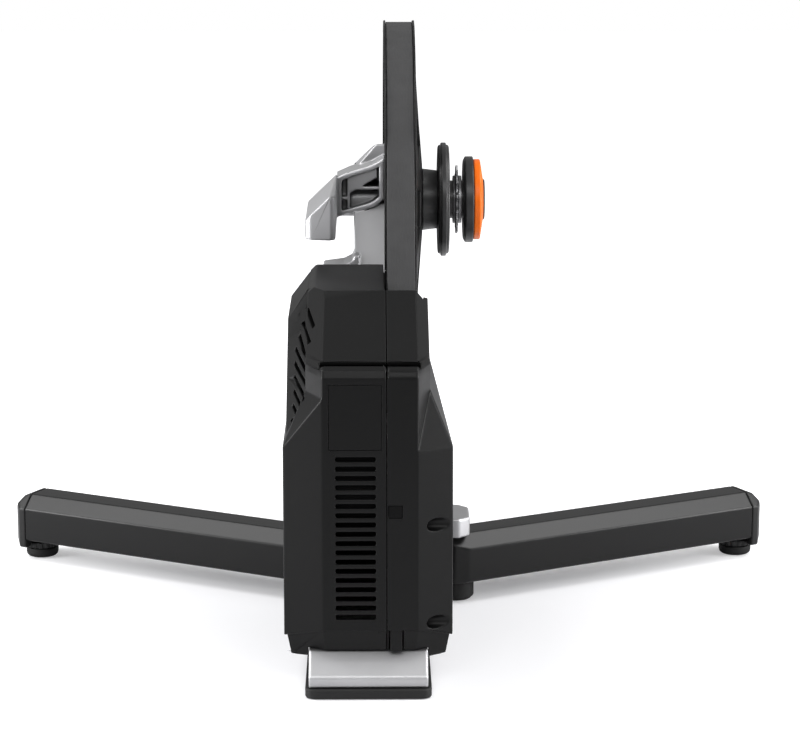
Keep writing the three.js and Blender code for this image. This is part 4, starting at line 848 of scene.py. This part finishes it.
def redraw(name, centre, edge, axis="X", steps=FINE_STEPS):
    chain, closed = profile_of(name, centre, axis)
    chain = softened(chain, closed, edge)
    made = turned(f"{name}_round", chain, closed, centre, axis, steps, LOOK[name])
    shade_evenly(made, keep_sharp=True)
    tie(made, name)


for name, edge in ON_AXLE.items():
    redraw(name, AXLE, edge)
for name, edge in ON_SHAFT.items():
    redraw(name, SHAFT, edge)
redraw("idler_roller", IDLER, IDLER_EDGE, steps=MID_STEPS)
for side in SIDES:
    redraw(f"{side}_foot_pad", FEET[side], FOOT_EDGE, "Z", MID_STEPS)
    redraw(f"{side}_root_foot", PIVOTS[side], FOOT_EDGE, "Z", MID_STEPS)
    redraw(f"{side}_pivot_bolt", PIVOTS[side], BOLT_EDGE, "Z", BOLT_STEPS)

# %% [markdown]
# ## Room for a radius
# The other pieces are cast, moulded or cut from sheet. A bevel rounds their corners, but one width
# for a whole piece doesn't do: the width that suits a casing's long ridge would swallow the bars
# between its slots. So every edge gets its own width. Points are set along all edges, a search tree
# finds the nearest point of an edge that doesn't touch this one, and the radius takes a share of that
# distance. A soft corner with little room beside it is only a facet of a round stretch, and is shaded
# instead of bevelled.

# %% How much room a corner has
SOFTEST = math.radians(6)
FACET = math.radians(26)
SAMPLE = 2.5 * MM
ROOM_SHARE = 0.36
FORM_SHARE = 0.5


def stations(edge):
    """Points along an edge, its ends left out."""
    a, b = (vertex.co for vertex in edge.verts)
    count = max(1, int((b - a).length / SAMPLE))
    return [a.lerp(b, (i + 0.5) / count) for i in range(count)]


def widths(bm, most):
    """The rounding of each edge, in metres, from its angle and the nearest other corner."""
    corners = [e for e in bm.edges if e.is_manifold and e.calc_face_angle() > SOFTEST]
    owners = [(e, point) for e in corners for point in stations(e)]
    tree = KDTree(len(owners))
    for i, (e, point) in enumerate(owners):
        tree.insert(point, i)
    tree.balance()
    room = {e: most / ROOM_SHARE for e in corners}
    for e, point in owners:
        for found, i, distance in tree.find_range(point, most / ROOM_SHARE):
            other = owners[i][0]
            if other is not e and not set(e.verts) & set(other.verts):
                room[e] = min(room[e], distance)
    made = {}
    for e in corners:
        width = min(most, room[e] * ROOM_SHARE, e.calc_length() * ROOM_SHARE)
        if e.calc_face_angle() > FACET or width > most * FORM_SHARE:
            made[e] = width
    return made


# %% [markdown]
# ## Two torn places on the casings
# The real casing has nine slanted slots in its upper left shoulder, side by side, and its skirt fits
# closely round the nose. In the solids those slots run into each other, and the skirt is open beside
# the nose. Moving corners by hand would be long work. Instead the flat facets round both places are
# found by the way they face and filled with thin plates, each the convex hull of its facet's corners.

# %% Find the facets
VENT_BACK_X = -0.084
VENT_FRONT_X = -0.0686
VENT_TOP = 0.3
VENT_OUTWARD = -0.55
VENT_FORWARD = -0.45, -0.2
SKIRT_TOP = 0.053
SKIRT_FORWARD = -0.79
SKIRT_ASIDE = 0.3
SKIRT_UNDER = -0.2


def facets(mesh, counts):
    """The corner points and the normal of each flat facet for which counts says yes."""
    planes = {}
    for face in mesh.polygons:
        away = round(face.normal.dot(face.center) / MM)
        planes.setdefault((*(round(c, 2) for c in face.normal), away), []).append(face)
    for faces in planes.values():
        points = [mesh.vertices[i].co for face in faces for i in face.vertices]
        if counts(faces[0].normal, points):
            yield points, faces[0].normal


def beside_vents(normal, points):
    left, right = min(point.x for point in points), max(point.x for point in points)
    high = max(point.z for point in points)
    slanted = normal.x < VENT_OUTWARD and VENT_FORWARD[0] < normal.y < VENT_FORWARD[1]
    return slanted and high < VENT_TOP and left < VENT_BACK_X and right < VENT_FRONT_X


def beside_nose(normal, points):
    high = max(point.z for point in points)
    facing = normal.y < SKIRT_FORWARD and abs(normal.x) > SKIRT_ASIDE and normal.z < SKIRT_UNDER
    return facing and high < SKIRT_TOP


for name in ("left_casing", "right_casing"):
    found = [sum(1 for _ in facets(nodes[name].data, test)) for test in (beside_vents, beside_nose)]
    print(name, "has", found[0], "facets beside the vents and", found[1], "beside the nose")

# %% [markdown]
# ## Blocks to add and blocks to cut
# A boolean modifier wants closed pieces whose faces look outward. A negative volume gives away a piece
# that is inside out, and then its faces are turned over. The slots' blocks lean with the slots: one
# direction runs along the slot and another out through the wall, and a matrix of the two with their
# cross product puts a plain cube in place.

# %% Plates and blocks
PLATE = 2.4 * MM
WELD = 0.01 * MM


def work_piece(bm):
    mesh = bpy.data.meshes.new("work_piece")
    if bm.calc_volume(signed=True) < 0:
        bmesh.ops.reverse_faces(bm, faces=bm.faces)
    bm.to_mesh(mesh)
    bm.free()
    made = bpy.data.objects.new("work_piece", mesh)
    bpy.context.scene.collection.objects.link(made)
    return made


def plate(points, normal):
    bm = bmesh.new()
    for point in points:
        bm.verts.new(point)
        bm.verts.new(point - normal * PLATE)
    bmesh.ops.remove_doubles(bm, verts=bm.verts, dist=WELD)
    bmesh.ops.convex_hull(bm, input=bm.verts)
    loose = [vertex for vertex in bm.verts if not vertex.link_faces]
    bmesh.ops.delete(bm, geom=loose, context="VERTS")
    return work_piece(bm)


def block(centre, along, across, size):
    """A block whose length runs along one direction and whose width runs across it."""
    bm = bmesh.new()
    bmesh.ops.create_cube(bm, size=1.0)
    along = along.normalized()
    third = along.cross(across).normalized()
    turn = Matrix((along, third.cross(along), third)).transposed().to_4x4()
    bm.transform(Matrix.Translation(centre) @ turn @ Matrix.Diagonal((*size, 1.0)))
    return work_piece(bm)


# %% [markdown]
# ## Where the slots and the nose go
# The nine slots are parallel, and each starts a little lower and further forward than the last. So
# one start, one step and a list of lengths place them all. One block makes the nose's room.

# %% Slots and nose
VENT_ALONG = Vector((0.21, -0.94, -0.265)).normalized()
VENT_OUT = Vector((-0.91, -0.29, 0.3))
VENT_FIRST = Vector((-0.0772, -0.1462, 0.2952))
VENT_STEP = Vector((-0.00058, -0.0083, -0.0098))
VENT_LENGTHS = [35 * MM, 41 * MM, 42 * MM, 43 * MM, 44 * MM, 41 * MM, 30 * MM, 19 * MM, 7 * MM]
VENT_HEIGHT = 3.2 * MM
VENT_DEPTH = 30 * MM
NOSE_SIDES = -0.0673, 0.0283
NOSE_TOP = 0.035
NOSE_Y = -0.24
NOSE_CUT_DEPTH = 40 * MM
NOSE_CUT_HEIGHT = 20 * MM


def vent_blocks():
    for row, length in enumerate(VENT_LENGTHS):
        centre = VENT_FIRST + VENT_STEP * row + VENT_ALONG * length / 2
        yield block(centre, VENT_ALONG, VENT_OUT, (length, VENT_DEPTH, VENT_HEIGHT))


def nose_block():
    left, right = NOSE_SIDES
    centre = Vector(((left + right) / 2, NOSE_Y, NOSE_TOP - NOSE_CUT_HEIGHT / 2))
    size = (right - left, NOSE_CUT_DEPTH, NOSE_CUT_HEIGHT)
    return block(centre, Vector((1, 0, 0)), Vector((0, 1, 0)), size)


print(len(VENT_LENGTHS), "slots, the longest", round(max(VENT_LENGTHS) / MM), "mm long")

# %% [markdown]
# ## Close and cut
# The plates are joined to a welded copy of the casing, and then the slots and the nose's room are cut.
# Blender has three boolean solvers. The manifold one is quick, and out of closed pieces it makes a
# closed piece. The frame's own meshes stay as they are, and only the copies change.

# %% Mend the casings
def mended(name):
    """A casing's mesh with its torn places closed and cut again."""
    source = nodes[name].data
    closed = [plate(*facet) for test in (beside_vents, beside_nose) for facet in facets(source, test)]
    cuts = [nose_block(), *(vent_blocks() if name == "left_casing" else [])]
    bm = bmesh.new()
    bm.from_mesh(source)
    bmesh.ops.remove_doubles(bm, verts=bm.verts, dist=WELD)
    whole = work_piece(bm)
    for other, operation in [(o, "UNION") for o in closed] + [(o, "DIFFERENCE") for o in cuts]:
        step = whole.modifiers.new(operation.lower(), "BOOLEAN")
        step.solver = "MANIFOLD"
        step.operation = operation
        step.object = other
    ready = whole.evaluated_get(bpy.context.evaluated_depsgraph_get())
    mesh = bpy.data.meshes.new_from_object(ready)
    for thing in [whole, *closed, *cuts]:
        bpy.data.objects.remove(thing)
    print(name, "closed", len(closed), "facets, made", len(cuts), "cuts")
    return mesh


SOURCES = {name: mended(name) for name in ("left_casing", "right_casing")}

# %% [markdown]
# ## Rounded copies of the rest
# Each remaining piece is copied, the triangles of its flat faces are joined into whole faces, and the
# bevel follows the widths that were worked out for its edges. Only the left casing keeps its triangles,
# because joining them takes away the bars between its front slots. The list gives the widest radius
# that each finish can have: wide on thick mouldings and castings, narrow on sheet and steel.

# %% Round the corners of a copy
FLAT = math.radians(0.4)
BEVEL_STEPS = 3
MOST = {
    "casing": 2.6 * MM, "cap": 3.0 * MM, "leg": 1.6 * MM, "cast": 1.8 * MM, "dark_cast": 1.0 * MM,
    "small_plastic": 0.8 * MM, "lens": 0.6 * MM, "pulley": 0.8 * MM, "dark_steel": 0.5 * MM,
    "copper": 1.5 * MM, "board": 0.2 * MM, "bright_steel": 0.3 * MM, "pad": 1.2 * MM, "belt": 0.5 * MM,
}


def eased(name, most):
    """A copy of a CAD piece with its corners rounded by up to most, in metres."""
    bm = bmesh.new()
    bm.from_mesh(SOURCES.get(name, nodes[name].data))
    bmesh.ops.remove_doubles(bm, verts=bm.verts, dist=WELD)
    if name != "left_casing":
        bmesh.ops.dissolve_limit(bm, angle_limit=FLAT, verts=bm.verts, edges=bm.edges)
    layer = bm.edges.layers.float.new("bevel_weight_edge")
    for edge, width in widths(bm, most).items():
        edge[layer] = width / most
    made = mesh_object(f"{name}_eased", bm, LOOK[name])
    made.matrix_world = nodes[name].matrix_world
    bevel = made.modifiers.new("round corners", "BEVEL")
    bevel.width = most
    bevel.segments = BEVEL_STEPS
    bevel.limit_method = "WEIGHT"
    bevel.use_clamp_overlap = False
    bevel.miter_outer = "MITER_ARC"
    shade_evenly(made, keep_sharp=False)
    tie(made, name)


redrawn = {name for o in bpy.data.objects for name in o.get("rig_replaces", [])}
for name in nodes:
    if name not in redrawn:
        eased(name, MOST[LOOK[name]])
print("eased", len(nodes) - len(redrawn), "pieces")

# %% [markdown]
# ## The studio floor
# A product photographer stands the trainer on white paper that has no visible end. A lit floor alone
# would be grey or spotty, and more light on it would also fall on the trainer. So the floor glows, but
# only for rays that come straight from the camera, weakly near the trainer and fully further away.
# The weak part keeps the soft shadow under the feet.

# %% Floor
FLOOR_NEAR = 0.1
FLOOR_FAR = 0.9
FLOOR_GLOW = 0.2
FLOOR_TONE = 0.8
FLOOR_ROUGHNESS = 0.9
FLOOR_HALF = 6.0
FLOOR_GAP = 0.5 * MM
WHITE = (1.0, 1.0, 1.0, 1.0)


def studio_floor():
    """A pale floor; only the camera sees the glow that whitens it away from the trainer."""
    shader = Shader("studio_floor")
    seen = shader.node("ShaderNodeLightPath")["Is Camera Ray"]
    x, y, z = shader.parts(shader.place())
    far = ((x**2.0 + y**2.0) ** 0.5).above(FLOOR_NEAR, FLOOR_FAR)
    glow = shader.mix(far, grey(FLOOR_GLOW), WHITE)
    paper = {"Base Color": grey(FLOOR_TONE), "Roughness": FLOOR_ROUGHNESS}
    matte = shader.node("ShaderNodeBsdfPrincipled", None, paper)["BSDF"]
    glowing = {**paper, "Emission Color": glow, "Emission Strength": 1.0}
    bright = shader.node("ShaderNodeBsdfPrincipled", None, glowing)["BSDF"]
    surface = shader.node("ShaderNodeMixShader", None, {0: seen, 1: matte, 2: bright})["Shader"]
    shader.node("ShaderNodeOutputMaterial", None, {"Surface": surface})
    return shader.material


def floor():
    bm = bmesh.new()
    bmesh.ops.create_grid(bm, x_segments=1, y_segments=1, size=FLOOR_HALF)
    mesh = bpy.data.meshes.new("floor")
    bm.to_mesh(mesh)
    bm.free()
    made = bpy.data.objects.new("floor", mesh)
    made.location.z = -FLOOR_GAP
    bpy.context.scene.collection.objects.link(made)
    mesh.materials.append(studio_floor())
    return made


print("floor", round(floor().dimensions.x, 1), "m wide")

# %% [markdown]
# ## The white room
# A real studio is white behind the trainer and dark round the camera. One white world would be the
# simplest backdrop, but the plastic and the metal would mirror white on every side: the black casing
# would turn grey, and the castings would glare. So the world gives three answers: white to the camera,
# about a third of that to reflections, and a faint light from all round to everything else.

# %% Backdrop
SKY_SEEN = 1.0
SKY_MIRRORED = 0.35
SKY_AROUND = 0.1


def backdrop():
    """White to the camera, dimmer in mirrors, a faint light from all round for the rest."""
    world = bpy.data.worlds.new("studio")
    bpy.context.scene.world = world
    world.use_nodes = True
    tree = world.node_tree
    tree.nodes.clear()

    def plain(strength):
        made = tree.nodes.new("ShaderNodeBackground")
        made.inputs["Color"].default_value = WHITE
        made.inputs["Strength"].default_value = strength
        return made.outputs[0]

    def choose(ray, without, given):
        made = tree.nodes.new("ShaderNodeMixShader")
        tree.links.new(path.outputs[ray], made.inputs[0])
        tree.links.new(without, made.inputs[1])
        tree.links.new(given, made.inputs[2])
        return made.outputs[0]

    path = tree.nodes.new("ShaderNodeLightPath")
    around = choose("Is Glossy Ray", plain(SKY_AROUND), plain(SKY_MIRRORED))
    surface = choose("Is Camera Ray", around, plain(SKY_SEEN))
    out = tree.nodes.new("ShaderNodeOutputWorld")
    tree.links.new(surface, out.inputs["Surface"])


backdrop()
print("backdrop mirrored at", SKY_MIRRORED)

# %% [markdown]
# ## Softboxes
# Black plastic is drawn by its highlights, so the lights are wide and soft. Two hang high over the
# sides and light the slanted shoulders, one hangs in front and above for the faces towards the camera,
# and two stand low at the sides for the flanks and the legs. Each row gives a light's place, the
# point it is aimed at, its width and height, and its power in watts.

# %% Lights
SOFTBOXES = {
    "left_overhead_softbox": ((-1.25, 0.0, 1.75), (-0.2, 0.1, 0.1), (0.9, 1.5), 26.0),
    "right_overhead_softbox": ((1.25, 0.0, 1.75), (0.2, 0.1, 0.1), (0.9, 1.5), 26.0),
    "front_softbox": ((0.0, -1.95, 1.7), (0.0, 0.0, 0.25), (1.8, 0.5), 15.0),
    "left_softbox": ((-1.7, -0.35, 0.5), (0.0, -0.1, 0.2), (0.7, 0.7), 26.0),
    "right_softbox": ((1.7, -0.35, 0.5), (0.0, -0.1, 0.2), (0.7, 0.7), 22.0),
}


def softbox(name, place, aim, size, power):
    light = bpy.data.lights.new(name, "AREA")
    light.shape = "RECTANGLE"
    light.size, light.size_y = size
    light.energy = power
    made = bpy.data.objects.new(name, light)
    made.location = place
    made.rotation_euler = (Vector(aim) - Vector(place)).to_track_quat("-Z", "Y").to_euler()
    made.visible_camera = False
    bpy.context.scene.collection.objects.link(made)


for name, row in SOFTBOXES.items():
    softbox(name, *row)
print("lights:", len(SOFTBOXES), "with", sum(row[-1] for row in SOFTBOXES.values()), "W in all")

# %% [markdown]
# ## The camera
# The portrait is taken from more than two metres away with a long lens, so what lies further back
# looks hardly smaller. A camera can be moved by eye until the picture looks right, but then nothing
# in it lies quite where the photo has it. So the place, the tilt and the lens were worked out from
# eighteen points of the photo whose places on the trainer are known.

# %% Camera
SENSOR_WIDTH = 36.0
LENS = 119.45
CAMERA_PLACE = (-0.01787, -2.26617, 0.69482)
CAMERA_TILT = math.radians(77.91)
CAMERA_TURN = math.radians(-0.666)
FARTHEST = 30.0

camera_data = bpy.data.cameras.new("portrait")
camera_data.sensor_width = SENSOR_WIDTH
camera_data.lens = LENS
camera_data.clip_end = FARTHEST
camera = bpy.data.objects.new("portrait", camera_data)
camera.location = CAMERA_PLACE
camera.rotation_euler = (CAMERA_TILT, 0.0, CAMERA_TURN)
bpy.context.scene.collection.objects.link(camera)
scene = bpy.context.scene
scene.camera = camera
scene.view_settings.view_transform = "Standard"
print("camera at", CAMERA_PLACE, "with a lens of", LENS, "mm")
